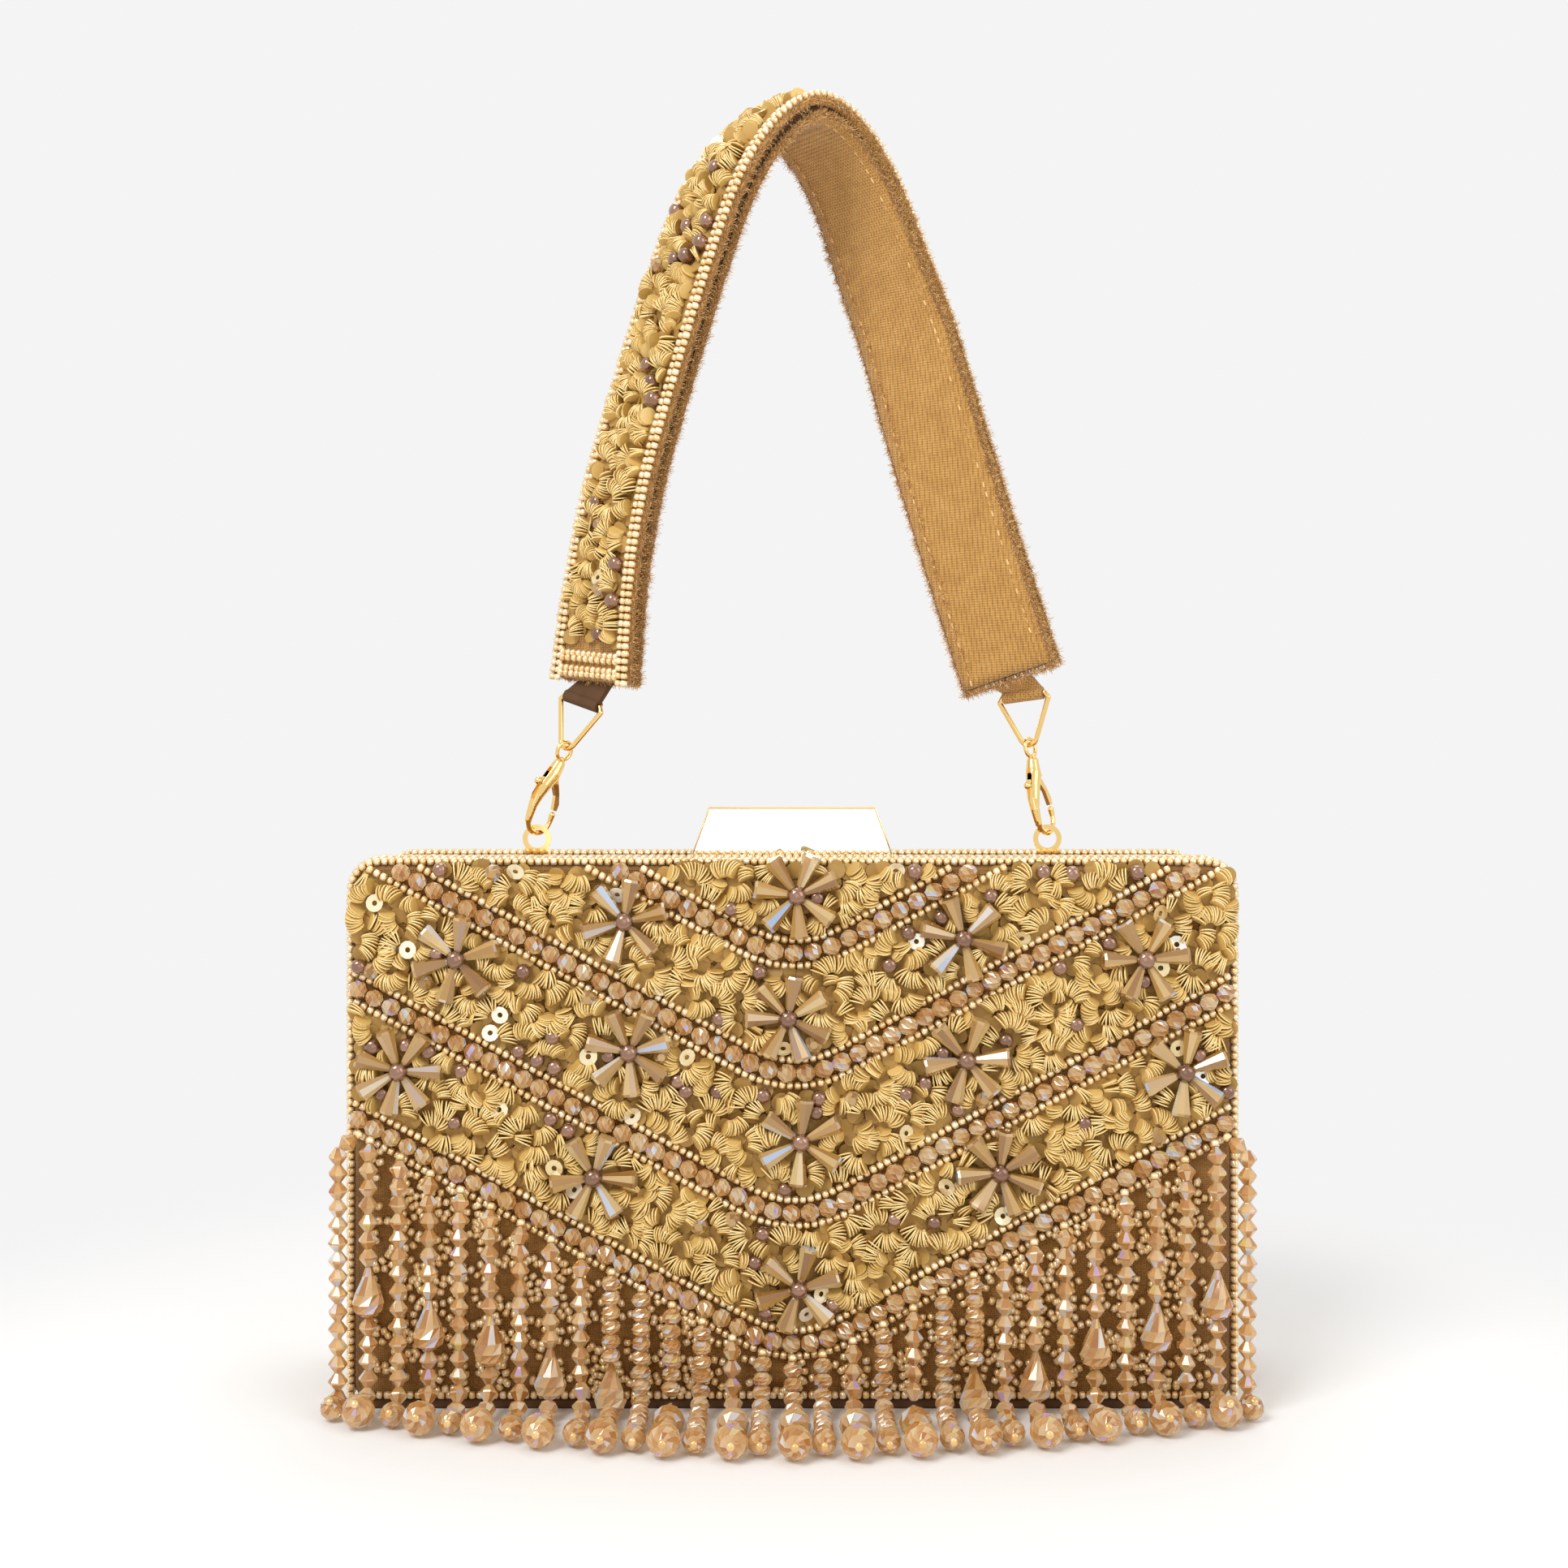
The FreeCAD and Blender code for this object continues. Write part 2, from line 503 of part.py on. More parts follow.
def clip_body_local():
    """Hook, spine, head and eye in the clip's own plane, with the slot that the trigger works in."""
    hook = arc_points(0, CLIP_LOOP_R, CLIP_LOOP_R, 180, 360, 13)
    spine = [local(-CLIP_LOOP_R - 0.15, 6.6), local(-3.5, 9.2), local(-2.5, 12.0), local(-1.0, HEAD_U)]
    tip = [local(CLIP_LOOP_R - 0.05, 5.4)]
    points = list(reversed(spine)) + hook + tip
    radii = [1.9, 1.75, 1.5, 1.15] + [0.95, 0.85] + [CLIP_WIRE_R] * (len(hook) - 2) + [0.8]
    body = tube(points, radii)
    neck = tube([local(-1.0, HEAD_U), local(-0.2, 18.0), local(0, CLIP_LENGTH - CLIP_EYE_R)], [1.9, 1.5, 0.75])
    eye = Part.makeTorus(CLIP_EYE_R, CLIP_EYE_WIRE_R, local(0, CLIP_LENGTH), Vector(0, 1, 0))
    half_slot = TRIGGER_T / 2 + TRIGGER_SLOT_GAP
    slot = Part.makeBox(10, 2 * half_slot, HEAD_U + 1.6 - 8.0, Vector(-5.2, -half_slot, 8.0))
    pin_hole = Part.makeCylinder(TRIGGER_PIN_R, 8, Vector(-0.6, -4, TRIGGER_PIVOT_U), Vector(0, 1, 0))
    return body.fuse([neck, eye]).cut([slot, pin_hole])


def trigger_local():
    """Lever: the gate down to the hook's tip, and the thumb knob out of the other side."""
    half = TRIGGER_T / 2
    pivot = (-0.6, TRIGGER_PIVOT_U)
    outline = [(0.3, TRIGGER_PIVOT_U + 1.0), (1.7, 13.2), (3.0, 11.0), (CLIP_LOOP_R + 0.5, GATE_TIP_U + 0.8),
               (CLIP_LOOP_R + 0.45, GATE_TIP_U - 1.0), (CLIP_LOOP_R - 0.75, GATE_TIP_U - 1.0),
               (2.0, 10.2), (0.6, 12.0), (-1.4, 12.6), (-4.0, 11.9), (-5.0, 12.4), (-4.6, 13.3),
               (-1.8, TRIGGER_PIVOT_U + 0.6), (-0.9, TRIGGER_PIVOT_U + 1.1)]
    wire = Part.makePolygon([Vector(v, -half, u) for v, u in outline + outline[:1]])
    lever = Part.Face(wire).extrude(Vector(0, 2 * half, 0))
    knob = Part.makeSphere(0.95, Vector(-5.0, 0, 12.6))
    hole = Part.makeCylinder(TRIGGER_PIN_R + HINGE_RUNNING_GAP, 4, Vector(pivot[0], -2, pivot[1]), Vector(0, 1, 0))
    return lever.fuse(knob).cut(hole)


def trigger_pin_local():
    return Part.makeCylinder(TRIGGER_PIN_R, 3.5, Vector(-0.6, -1.75, TRIGGER_PIVOT_U), Vector(0, 1, 0))


def place(shape, frame):
    """A local shape carried to its place on the bag."""
    placed = shape.copy()
    placed.transformShape(frame_matrix(*frame), True)
    return placed


# ---------------------------------------------------------------- triangle rings
def ring_frame(side):
    """Origin (the apex's wire centre), bar direction, normal and height direction of a triangle ring."""
    origin, _, _, u = clip_frame(side)
    eye = origin + u * CLIP_LENGTH
    apex = eye + u * (CLIP_EYE_R - CLIP_EYE_WIRE_R - RING_WIRE_R - RING_HANG_GAP)
    tilt = math.radians(20.0 if side < 0 else -7.0)
    turn = math.radians(RING_TURN)
    height = Vector(math.sin(tilt), 0, math.cos(tilt))
    bar = Vector(math.cos(turn) * math.cos(tilt), -math.sin(turn), -math.cos(turn) * math.sin(tilt))
    return apex, bar, height.cross(bar), height


def triangle_ring_local():
    """Bent wire: a bar above, and two legs down to a round apex."""
    half, top, bend = RING_BAR / 2, RING_HEIGHT, RING_BEND_R
    lean = math.atan2(half, top)
    apex = [local(bend * math.sin(a), bend - bend * math.cos(a))
            for a in [math.pi / 2 * (i / 3 - 1) + lean * (1 - i / 3) for i in range(4)]]
    apex += [local(-p.x, p.z) for p in reversed(apex[:-1])]
    loop = apex + [local(half, top - 1.2), local(half - 0.9, top), local(-half + 0.9, top), local(-half, top - 1.2)]
    loop.append(loop[0])
    return tube(loop, [RING_WIRE_R] * len(loop))


# ---------------------------------------------------------------- strap
def strap_stations():
    """(point, along, across, outward) at even stations of the strap's route."""
    points = [Vector(*p) for p, _ in STRAP_ROUTE]
    across_at = [Vector(x, y, 0) for _, (x, y) in STRAP_ROUTE]
    curve = Part.BSplineCurve()
    curve.interpolate(points)
    knots = [curve.parameter(p) for p in points]
    first, last = curve.FirstParameter, curve.LastParameter
    edge = curve.toShape()
    found = []
    for i in range(STRAP_STATIONS):
        at = edge.getParameterByLength(edge.Length * i / (STRAP_STATIONS - 1))
        at = min(max(at, first), last)
        k = max(j for j in range(len(knots)) if knots[j] <= at + 1e-9)
        k = min(k, len(knots) - 2)
        share = (at - knots[k]) / (knots[k + 1] - knots[k])
        along = curve.tangent(at)[0]
        across = across_at[k] * (1 - share) + across_at[k + 1] * share
        across = across - along * across.dot(along)
        across.normalize()
        found.append((curve.value(at), along, across, across.cross(along)))
    return found


def strap_layer(width, low, high, first=0, last=None):
    """One layer of the strap: from low to high along the outward direction."""
    sections = []
    for point, _, across, outward in strap_stations()[first:last]:
        half = across * (width / 2)
        corners = [point - half + outward * low, point + half + outward * low,
                   point + half + outward * high, point - half + outward * high]
        sections.append(Part.makePolygon(corners + corners[:1]))
    return Part.makeLoft(sections, True, True)


def strap_end(side):
    """Point, direction out of the strap and across direction at one end."""
    point, along, across, outward = strap_stations()[0 if side < 0 else -1]
    return point, (along * -1 if side < 0 else along), across, outward


def strap_tab(side):
    """Velvet tab: a tongue out of the strap's end and a loop round the ring's bar."""
    apex, bar, _, height = ring_frame(side)
    bar_centre = apex + height * RING_HEIGHT
    inner, outer = RING_WIRE_R + 0.12, RING_WIRE_R + 0.12 + TAB_T
    half = bar * (TAB_WIDTH / 2)
    tube_out = Part.makeCylinder(outer, TAB_WIDTH, bar_centre - half, bar)
    tube_in = Part.makeCylinder(inner, TAB_WIDTH + 2, bar_centre - half - bar, bar)
    end, out, across, _ = strap_end(side)
    end = end + out * TAB_END_GAP
    low = Part.makePolygon(section(bar_centre + height * (inner + 0.35), bar, bar.cross(height)))
    high = Part.makePolygon(section(end, across, across.cross(height)))
    return tube_out.fuse(Part.makeLoft([low, high], True, True)).cut(tube_in)


def section(centre, across, through):
    """Corner points of the tab's cross-section."""
    a, t = across * (TAB_WIDTH / 2), through * TAB_T
    t = t * (1.0 / max(through.Length, 1e-9))
    corners = [centre - a - t, centre + a - t, centre + a + t, centre - a + t]
    return corners + corners[:1]


# ---------------------------------------------------------------- embroidery on the front face
def chevron_z(x, apex_z):
    """Height of a chevron line over x: straight arms and a rounded apex."""
    reach = abs(x - CHEVRON_APEX_X)
    blend = CHEVRON_ROUND_R
    rise = CHEVRON_SLOPE * (reach - blend / 2) if reach > blend else CHEVRON_SLOPE * reach * reach / (2 * blend)
    return apex_z + rise


def chevron_region(low_apex, high_apex, y0, y1):
    """The stretch of the front face between two chevron lines, inside the embroidery's outline."""
    half = BODY_WIDTH / 2 - FIELD_EDGE
    bends = [CHEVRON_APEX_X + s * CHEVRON_ROUND_R * k / 3 for s, k in
             ((-1, 3), (-1, 2), (-1, 1), (1, 0), (1, 1), (1, 2), (1, 3))]
    across = [-half] + bends + [half]
    lower = [Vector(x, y0, chevron_z(x, low_apex)) for x in across]
    upper = [Vector(x, y0, chevron_z(x, high_apex)) for x in reversed(across)]
    outline = Part.makePolygon(lower + upper + lower[:1])
    slab = Part.Face(outline).extrude(Vector(0, y1 - y0, 0))
    return slab.common(body_slab(FIELD_EDGE, -HALF_DEPTH - 6, HALF_DEPTH))


def field_back():
    return -HALF_DEPTH - SEW_GAP


def flower_discs():
    """Clear space in the ground and the bands for every flower."""
    return [cylinder(FLOWER_R, Vector(x, field_back() + 1, z), Vector(x, field_back() - 8, z))
            for row in FLOWERS for x, z in row]


def chevron_band(i):
    apex = BAND_APEX_Z[i]
    band = chevron_region(apex - BAND_HALF_WIDTH, apex + BAND_HALF_WIDTH, field_back(), field_back() - BAND_T)
    return band.cut(flower_discs())


def sequin_field(i):
    """Sequin ground between two bands."""
    high = BODY_HEIGHT + 60 if i == 0 else BAND_APEX_Z[i - 1] - BAND_HALF_WIDTH - FIELD_GAP
    low = BAND_APEX_Z[i] + BAND_HALF_WIDTH + FIELD_GAP
    ground = chevron_region(low, high, field_back(), field_back() - FIELD_T)
    return ground.cut(flower_discs())


def flowers():
    """Each flower: six tapered tube beads round a pearl."""
    found = []
    for i, (x, z) in enumerate(spot for row in FLOWERS for spot in row):
        found.append(Part.makeSphere(FLOWER_PEARL_R, Vector(x, field_back() - FLOWER_PEARL_R, z)))
        for k in range(FLOWER_PETALS):
            angle = math.radians(90 + 360 * k / FLOWER_PETALS + (i * 17) % 30 - 15)
            out = Vector(math.cos(angle), 0, math.sin(angle))
            root = Vector(x, field_back() - PETAL_R_OUTER, z) + out * (FLOWER_PEARL_R + 0.1)
            found.append(Part.makeCone(PETAL_R_INNER, PETAL_R_OUTER, PETAL_LENGTH, root, out))
    return found


# ---------------------------------------------------------------- fringe
TIE_REACH = BODY_WIDTH / 2 - FIELD_EDGE - LOOP_R


def strand_x(i):
    return (i - (STRAND_COUNT - 1) / 2) * STRAND_PITCH


def strand_top_z(i):
    """Strands hang from the lower edge of the last chevron band."""
    return chevron_z(strand_x(i), BAND_APEX_Z[-1] - BAND_HALF_WIDTH)


def strand_reach(i):
    """How far the strand's end ball lies in front of the strand's line: longest at the middle."""
    share = 1 - abs(strand_x(i)) / (STRAND_PITCH * (STRAND_COUNT - 1) / 2)
    return 3.5 + 22.0 * math.sin(share * math.pi / 2) + (3.0 if i % 2 else 0.0)


def bead_profile(count, with_drop_after):
    """(distance, radius) along a run of bicones, with a drop after so many of them."""
    profile, at = [(0.0, THREAD_R)], 0.0
    for k in range(count):
        if k == with_drop_after:
            profile += [(at + 0.2, BICONE_WAIST_R), (at + DROP_LENGTH * 0.66, DROP_R), (at + DROP_LENGTH * 0.86, DROP_R * 0.8)]
            at += DROP_LENGTH
        profile += [(at + 0.15, BICONE_WAIST_R), (at + BICONE_LENGTH / 2, BICONE_R)]
        at += BICONE_LENGTH
        profile.append((at, BICONE_WAIST_R))
    return profile, at


def beaded_bar(start, direction, profile, length):
    """Solid of revolution along a straight run, cut off at length."""
    side = Vector(1, 0, 0)
    kept = [(d, r) for d, r in profile if d < length - 0.2]
    outline = [start] + [start + direction * d + side * r for d, r in kept]
    outline += [start + direction * length + side * BICONE_WAIST_R, start + direction * length, start]
    return Part.Face(Part.makePolygon(outline)).revolve(start, direction, 360)


def tie_point(i):
    """Centre of the bead that ties a strand to the header's front; the outermost strands lean inwards."""
    x = max(-TIE_REACH, min(TIE_REACH, strand_x(i)))
    return Vector(x, field_back() - BAND_T - LOOP_GAP - LOOP_R, chevron_z(x, BAND_APEX_Z[-1] - BAND_HALF_WIDTH) + LOOP_UP)


def strand(i):
    """One strand: a loop at the header, beads down to the floor, a bend, and the end ball in front."""
    x, top = strand_x(i), strand_top_z(i)
    ball = BALL_R_LARGE if i % 2 else BALL_R_SMALL
    corner_z = BICONE_R + STRAND_FLOOR_GAP
    fall = top - corner_z
    reach = strand_reach(i)
    count = int(fall / BICONE_LENGTH) + 2
    drop_after = int((fall - DROP_LENGTH) / BICONE_LENGTH * 0.55) if i % 2 and fall > 26 else -1
    profile, _ = bead_profile(count, drop_after)
    down = beaded_bar(Vector(x, STRAND_Y, top), Vector(0, 0, -1), profile, fall)
    pieces = [Part.makeSphere(BICONE_R, Vector(x, STRAND_Y, corner_z)),
              Part.makeSphere(ball, Vector(x, STRAND_Y - reach, ball + STRAND_FLOOR_GAP)),
              Part.makeSphere(THREAD_R, Vector(x, STRAND_Y, top)), Part.makeSphere(LOOP_R, tie_point(i)),
              cylinder(THREAD_R, Vector(x, STRAND_Y, top), tie_point(i))]
    run = reach - ball * 0.6
    if run > BICONE_LENGTH:
        along, _ = bead_profile(int(run / BICONE_LENGTH) + 2, -1)
        pieces.append(beaded_bar(Vector(x, STRAND_Y, corner_z), Vector(0, -1, 0), along, run))
    pieces.append(cylinder(THREAD_R, Vector(x, STRAND_Y, corner_z), Vector(x, STRAND_Y - reach, ball + STRAND_FLOOR_GAP)))
    return down.fuse(pieces)


def fringe_groups():
    """{node: strand numbers}: groups from each side towards the single middle strand."""
    middle = STRAND_COUNT // 2
    groups = {"fringe_middle": [middle]}
    wing = list(range(middle))
    for n in range(0, len(wing), STRANDS_PER_GROUP):
        number = n // STRANDS_PER_GROUP + 1
        groups[f"fringe_left_{number}"] = wing[n:n + STRANDS_PER_GROUP]
        groups[f"fringe_right_{number}"] = [STRAND_COUNT - 1 - k for k in wing[n:n + STRANDS_PER_GROUP]]
    return groups


# ---------------------------------------------------------------- build
def build_halves():
    bracket_rivets, lug_rivets = top_rivet_places()
    save("rear_shell", half_shell(bracket_rivets + lug_rivets, REBATE_REAR))
    save("rear_cover", half_cover(bracket_rivets + lug_rivets, REBATE_REAR))
    save("rear_frame", rear_frame())
    save("rear_lining", half_lining())
    save("rear_edge_beading", edge_beading())
    save("slip_pocket", slip_pocket())
    front_holes = [(x, -y) for x, y in catch_rivet_places()]
    save("front_shell", mirrored(half_shell(front_holes, REBATE_FRONT)))
    save("front_cover", mirrored(half_cover(front_holes, REBATE_FRONT)))
    save("front_frame", mirrored(half_frame(REBATE_FRONT)))
    save("front_lining", mirrored(half_lining()))
    save("front_edge_beading", mirrored(edge_beading()))


def build_hinge():
    spans = knuckle_spans()
    middle = KNUCKLE_COUNT // 2
    save("rear_hinge_knuckles", hinge_knuckles(spans[:middle:2] + spans[middle + 2::2], 1))
    save("front_hinge_knuckles", hinge_knuckles(spans[1::2], -1))
    save("hinge_pin", hinge_pin())


def build_clasp():
    bracket_rivets, lug_rivets = top_rivet_places()
    bracket_seat = TOP_Z + SEW_GAP + BRACKET_T
    save("clasp_bar", clasp_bar())
    save("clasp_bracket", clasp_bracket())
    save("clasp_pin", clasp_pin())
    save("clasp_spring", clasp_spring())
    save("front_catch", front_catch())
    save("bracket_rivets", [rivet(x, y, bracket_seat) for x, y in bracket_rivets])
    save("lug_rivets", [rivet(x, y, bracket_seat) for x, y in lug_rivets])
    save("catch_rivets", [rivet(x, y, TOP_Z + SEW_GAP + 0.35) for x, y in catch_rivet_places()])


def build_strap():
    for side, name in ((-1, "left"), (1, "right")):
        save(f"{name}_lug", strap_lug(side))
        clip = clip_frame(side)
        save(f"{name}_clip_body", place(clip_body_local(), clip))
        save(f"{name}_clip_trigger", place(trigger_local(), clip))
        save(f"{name}_clip_pin", place(trigger_pin_local(), clip))
        save(f"{name}_triangle_ring", place(triangle_ring_local(), ring_frame(side)))
        save(f"{name}_strap_tab", strap_tab(side))
    core_high = STRAP_CORE_T / 2
    lining_high = -core_high - STRAP_LAYER_GAP
    face_low = core_high + STRAP_LAYER_GAP
    save("strap_core", strap_layer(STRAP_CORE_WIDTH, -core_high, core_high, 1, -1))
    save("strap_face", strap_layer(STRAP_WIDTH, face_low, face_low + STRAP_FACE_T))
    save("strap_lining", strap_layer(STRAP_WIDTH, lining_high - STRAP_LINING_T, lining_high))


def build_embroidery():
    for i in range(len(BAND_APEX_Z) - 1):
        save(f"chevron_band_{i + 1}", chevron_band(i))
    save("fringe_header", chevron_band(len(BAND_APEX_Z) - 1))
    for i in range(len(BAND_APEX_Z)):
        save(f"sequin_field_{i + 1}", sequin_field(i))
    save("flowers", flowers())


def build_fringe():
    for node, numbers in fringe_groups().items():
        save(node, [strand(i) for i in numbers])


build_halves()
build_hinge()
build_clasp()
build_strap()
build_embroidery()
build_fringe()
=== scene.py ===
# %% [markdown]
# # A beaded evening bag
# The bag is a hard box clutch: two half shells that open on a hinge under the base. Its front is covered
# with chevrons of crystals, stacked sequins, pearls and tube-bead flowers, and a fringe of threaded
# crystals hangs from the lowest chevron. The frame that is loaded first gives every hard piece its place,
# so each new piece is made where the frame says and then told which moving body it rides on.

# %% Load the frame
import math

import bmesh
import bpy
import numpy as np
from mathutils import Matrix, Vector


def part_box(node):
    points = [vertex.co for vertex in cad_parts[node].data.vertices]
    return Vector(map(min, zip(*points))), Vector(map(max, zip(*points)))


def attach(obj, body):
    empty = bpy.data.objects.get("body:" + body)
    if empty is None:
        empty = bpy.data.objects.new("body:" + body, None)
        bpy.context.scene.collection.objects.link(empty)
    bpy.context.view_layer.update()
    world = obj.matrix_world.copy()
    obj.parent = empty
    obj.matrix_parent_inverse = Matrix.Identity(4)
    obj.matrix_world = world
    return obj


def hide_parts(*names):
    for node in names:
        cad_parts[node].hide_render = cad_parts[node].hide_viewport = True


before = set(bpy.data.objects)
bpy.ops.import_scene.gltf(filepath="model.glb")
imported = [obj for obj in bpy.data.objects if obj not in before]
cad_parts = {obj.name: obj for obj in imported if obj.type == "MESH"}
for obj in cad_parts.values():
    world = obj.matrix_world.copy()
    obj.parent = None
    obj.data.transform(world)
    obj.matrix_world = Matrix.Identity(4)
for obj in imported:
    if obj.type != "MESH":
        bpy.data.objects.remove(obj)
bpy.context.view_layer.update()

MM = 0.001
RNG = np.random.default_rng(7)

# %% [markdown]
# ## Sizes taken from the frame
# A box of a frame node says where that piece starts and stops. The front's beadwork lies between the face
# of the cover and the front of the widest band, and the strands hang just in front of it.

# %% Sizes and places
COVER_LOW, COVER_HIGH = (Vector(p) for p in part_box("front_cover"))
REAR_LOW, REAR_HIGH = (Vector(p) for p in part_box("rear_cover"))
FACE_Y = COVER_LOW.y                      # front face of the cover
BACK_Y = REAR_HIGH.y
BODY_HALF = COVER_HIGH.x
BODY_TOP = COVER_HIGH.z
GROUND_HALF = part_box("fringe_header")[1][0]     # half width of the beadwork
BODY_CORNER = 6.5 * MM
SEED = 1.8 * MM                           # pitch of the seed beads in a row
CRYSTAL = 4.35 * MM                       # pitch of the round crystals in a row
print("front face at y =", round(FACE_Y, 5), "half width", round(BODY_HALF, 5), "top", round(BODY_TOP, 5))

# %% [markdown]
# ## Camera
# The camera looks straight at the front from about 43 cm away, level with the upper half of the bag. A
# short distance like this makes nearer things, such as the ends of the fringe, look lower and larger.

# %% Camera
CAMERA_X, CAMERA_Z, CAMERA_DISTANCE = -2.0 * MM, 146.0 * MM, 430.0 * MM
camera_data = bpy.data.cameras.new("camera")
camera_data.lens = 42.2
camera_data.clip_start = 0.01
camera = bpy.data.objects.new("camera", camera_data)
camera.location = (CAMERA_X, FACE_Y - CAMERA_DISTANCE, CAMERA_Z)
camera.rotation_euler = (math.radians(90), 0, 0)
bpy.context.collection.objects.link(camera)
bpy.context.scene.camera = camera

# %% [markdown]
# ## Floor and light
# The floor is matt near the bag, where it takes a soft shadow, and fades into the same pale tone as the
# world further off, so there is no horizon line. A large soft light over the front left gives the beads
# their bright side, a smaller one on the right fills in, and the pale world keeps the shadows soft.


# %% Node helpers
def add_node(tree, kind, sockets=None, **settings):
    """Adds a node. Each socket, by name or number, takes a value or another node's output."""
    node = tree.nodes.new(kind)
    for setting, value in settings.items():
        setattr(node, setting, value)
    for socket, value in (sockets or {}).items():
        if isinstance(value, bpy.types.NodeSocket):
            tree.links.new(value, node.inputs[socket])
        else:
            node.inputs[socket].default_value = value
    return node


def add_math(tree, operation, *values, clamp=False):
    """Adds a Math node and returns its result."""
    sockets = dict(enumerate(values))
    return add_node(tree, "ShaderNodeMath", sockets, operation=operation, use_clamp=clamp).outputs[0]


def new_material(name):
    """A new material, its empty tree and its output node."""
    material = bpy.data.materials.new(name)
    material.use_nodes = True
    tree = material.node_tree
    tree.nodes.clear()
    return material, tree, tree.nodes.new("ShaderNodeOutputMaterial")


def seen_directly(tree):
    """1 for rays that show the surroundings themselves: to the eye, in a mirror or through glass."""
    rays = add_node(tree, "ShaderNodeLightPath").outputs
    total = add_math(tree, "ADD", rays["Is Camera Ray"], rays["Is Glossy Ray"], clamp=True)
    return add_math(tree, "ADD", total, rays["Is Transmission Ray"], clamp=True)


# %% Floor and light
PALE = 0.905                              # tone of the surroundings, where 1 is white
FADE_START, FADE_END = 0.13, 0.30         # the floor's shadow fades out between these distances, in metres


def floor_material():
    """Matt white near the bag, so it takes the shadow, and a plain pale tone further off."""
    material, tree, output = new_material("pale_floor")
    place = add_node(tree, "ShaderNodeTexCoord").outputs["Object"]
    reach = add_node(tree, "ShaderNodeVectorMath", {0: place}, operation="LENGTH").outputs["Value"]
    sockets = {"Value": reach, "From Min": FADE_START, "From Max": FADE_END}
    fade = add_node(tree, "ShaderNodeMapRange", sockets, interpolation_type="SMOOTHSTEP").outputs[0]
    matt = add_node(tree, "ShaderNodeBsdfDiffuse", {"Color": (0.9, 0.9, 0.9, 1)}).outputs[0]
    plain = add_node(tree, "ShaderNodeEmission", {"Color": (PALE, PALE, PALE, 1)}).outputs[0]
    share = add_math(tree, "MULTIPLY", fade, seen_directly(tree))
    mix = add_node(tree, "ShaderNodeMixShader", {0: share, 1: matt, 2: plain})
    tree.links.new(mix.outputs[0], output.inputs["Surface"])
    return material


def make_floor():
    mesh = bpy.data.meshes.new("floor")
    mesh.from_pydata([(-4, -2, 0), (4, -2, 0), (4, 6, 0), (-4, 6, 0)], [], [(0, 1, 2, 3)])
    mesh.materials.append(floor_material())
    floor = bpy.data.objects.new("floor", mesh)
    bpy.context.collection.objects.link(floor)


def area_light(name, place, target, size, watts):
    data = bpy.data.lights.new(name, "AREA")
    data.energy, data.size, data.shape = watts, size, "SQUARE"
    lamp = bpy.data.objects.new(name, data)
    lamp.location = place
    lamp.rotation_euler = (Vector(target) - Vector(place)).to_track_quat("-Z", "Y").to_euler()
    bpy.context.collection.objects.link(lamp)


def pale_world():
    """A soft light from all round, and the plain pale tone where the world itself is seen."""
    world = bpy.data.worlds.new("pale_world")
    world.use_nodes = True
    tree = world.node_tree
    light = tree.nodes["Background"]
    light.inputs["Color"].default_value = (1.0, 0.985, 0.96, 1)
    light.inputs["Strength"].default_value = 0.62
    seen = add_node(tree, "ShaderNodeBackground", {"Color": (PALE, PALE, PALE, 1)})
    mix = add_node(tree, "ShaderNodeMixShader",
                   {0: seen_directly(tree), 1: light.outputs[0], 2: seen.outputs[0]})
    tree.links.new(mix.outputs[0], tree.nodes["World Output"].inputs["Surface"])
    bpy.context.scene.world = world


make_floor()
pale_world()
area_light("key_light", (-0.55, -0.75, 0.95), (0, 0, 0.12), 0.5, 8.4)
area_light("fill_light", (0.75, -0.7, 0.5), (0, 0, 0.12), 0.7, 2.6)
area_light("top_light", (0.1, 0.25, 1.1), (0, 0, 0.15), 0.6, 2.8)
area_light("front_light", (-0.02, -1.05, 0.17), (0, 0, 0.14), 0.36, 0.3)
bpy.context.scene.view_settings.view_transform = "Standard"

# %% [markdown]
# ## Materials
# Every finish is a small node tree. The helper makes a Principled shader with a colour that wanders a
# little: a noise gives slow patches over the whole object, and the random number of each separate island of
# mesh gives every bead its own tone. Roughness and bump come from the same kind of noise.


# %% Material helper
BUMP_DEPTH = 0.0003                       # metres
THREADS_PER_SCALE = 0.314                 # a wave texture's scale for threads one metre apart


def colour_ramp(tree, factor, colours, painted_glints, share):
    """Even steps of the main colours, then a narrow band for each painted glint."""
    ramp = tree.nodes.new("ShaderNodeValToRGB")
    steps = ramp.color_ramp.elements
    while len(steps) < len(colours):
        steps.new(0.5)
    usual = 1 - share * len(painted_glints)
    for i, colour in enumerate(colours):
        steps[i].position = usual * i / max(len(colours) - 1, 1)
        steps[i].color = (*colour, 1)
    for i, colour in enumerate(painted_glints):
        steps.new(usual + share * (i + 0.5)).color = (*colour, 1)
    tree.links.new(factor, ramp.inputs[0])
    return ramp.outputs[0]


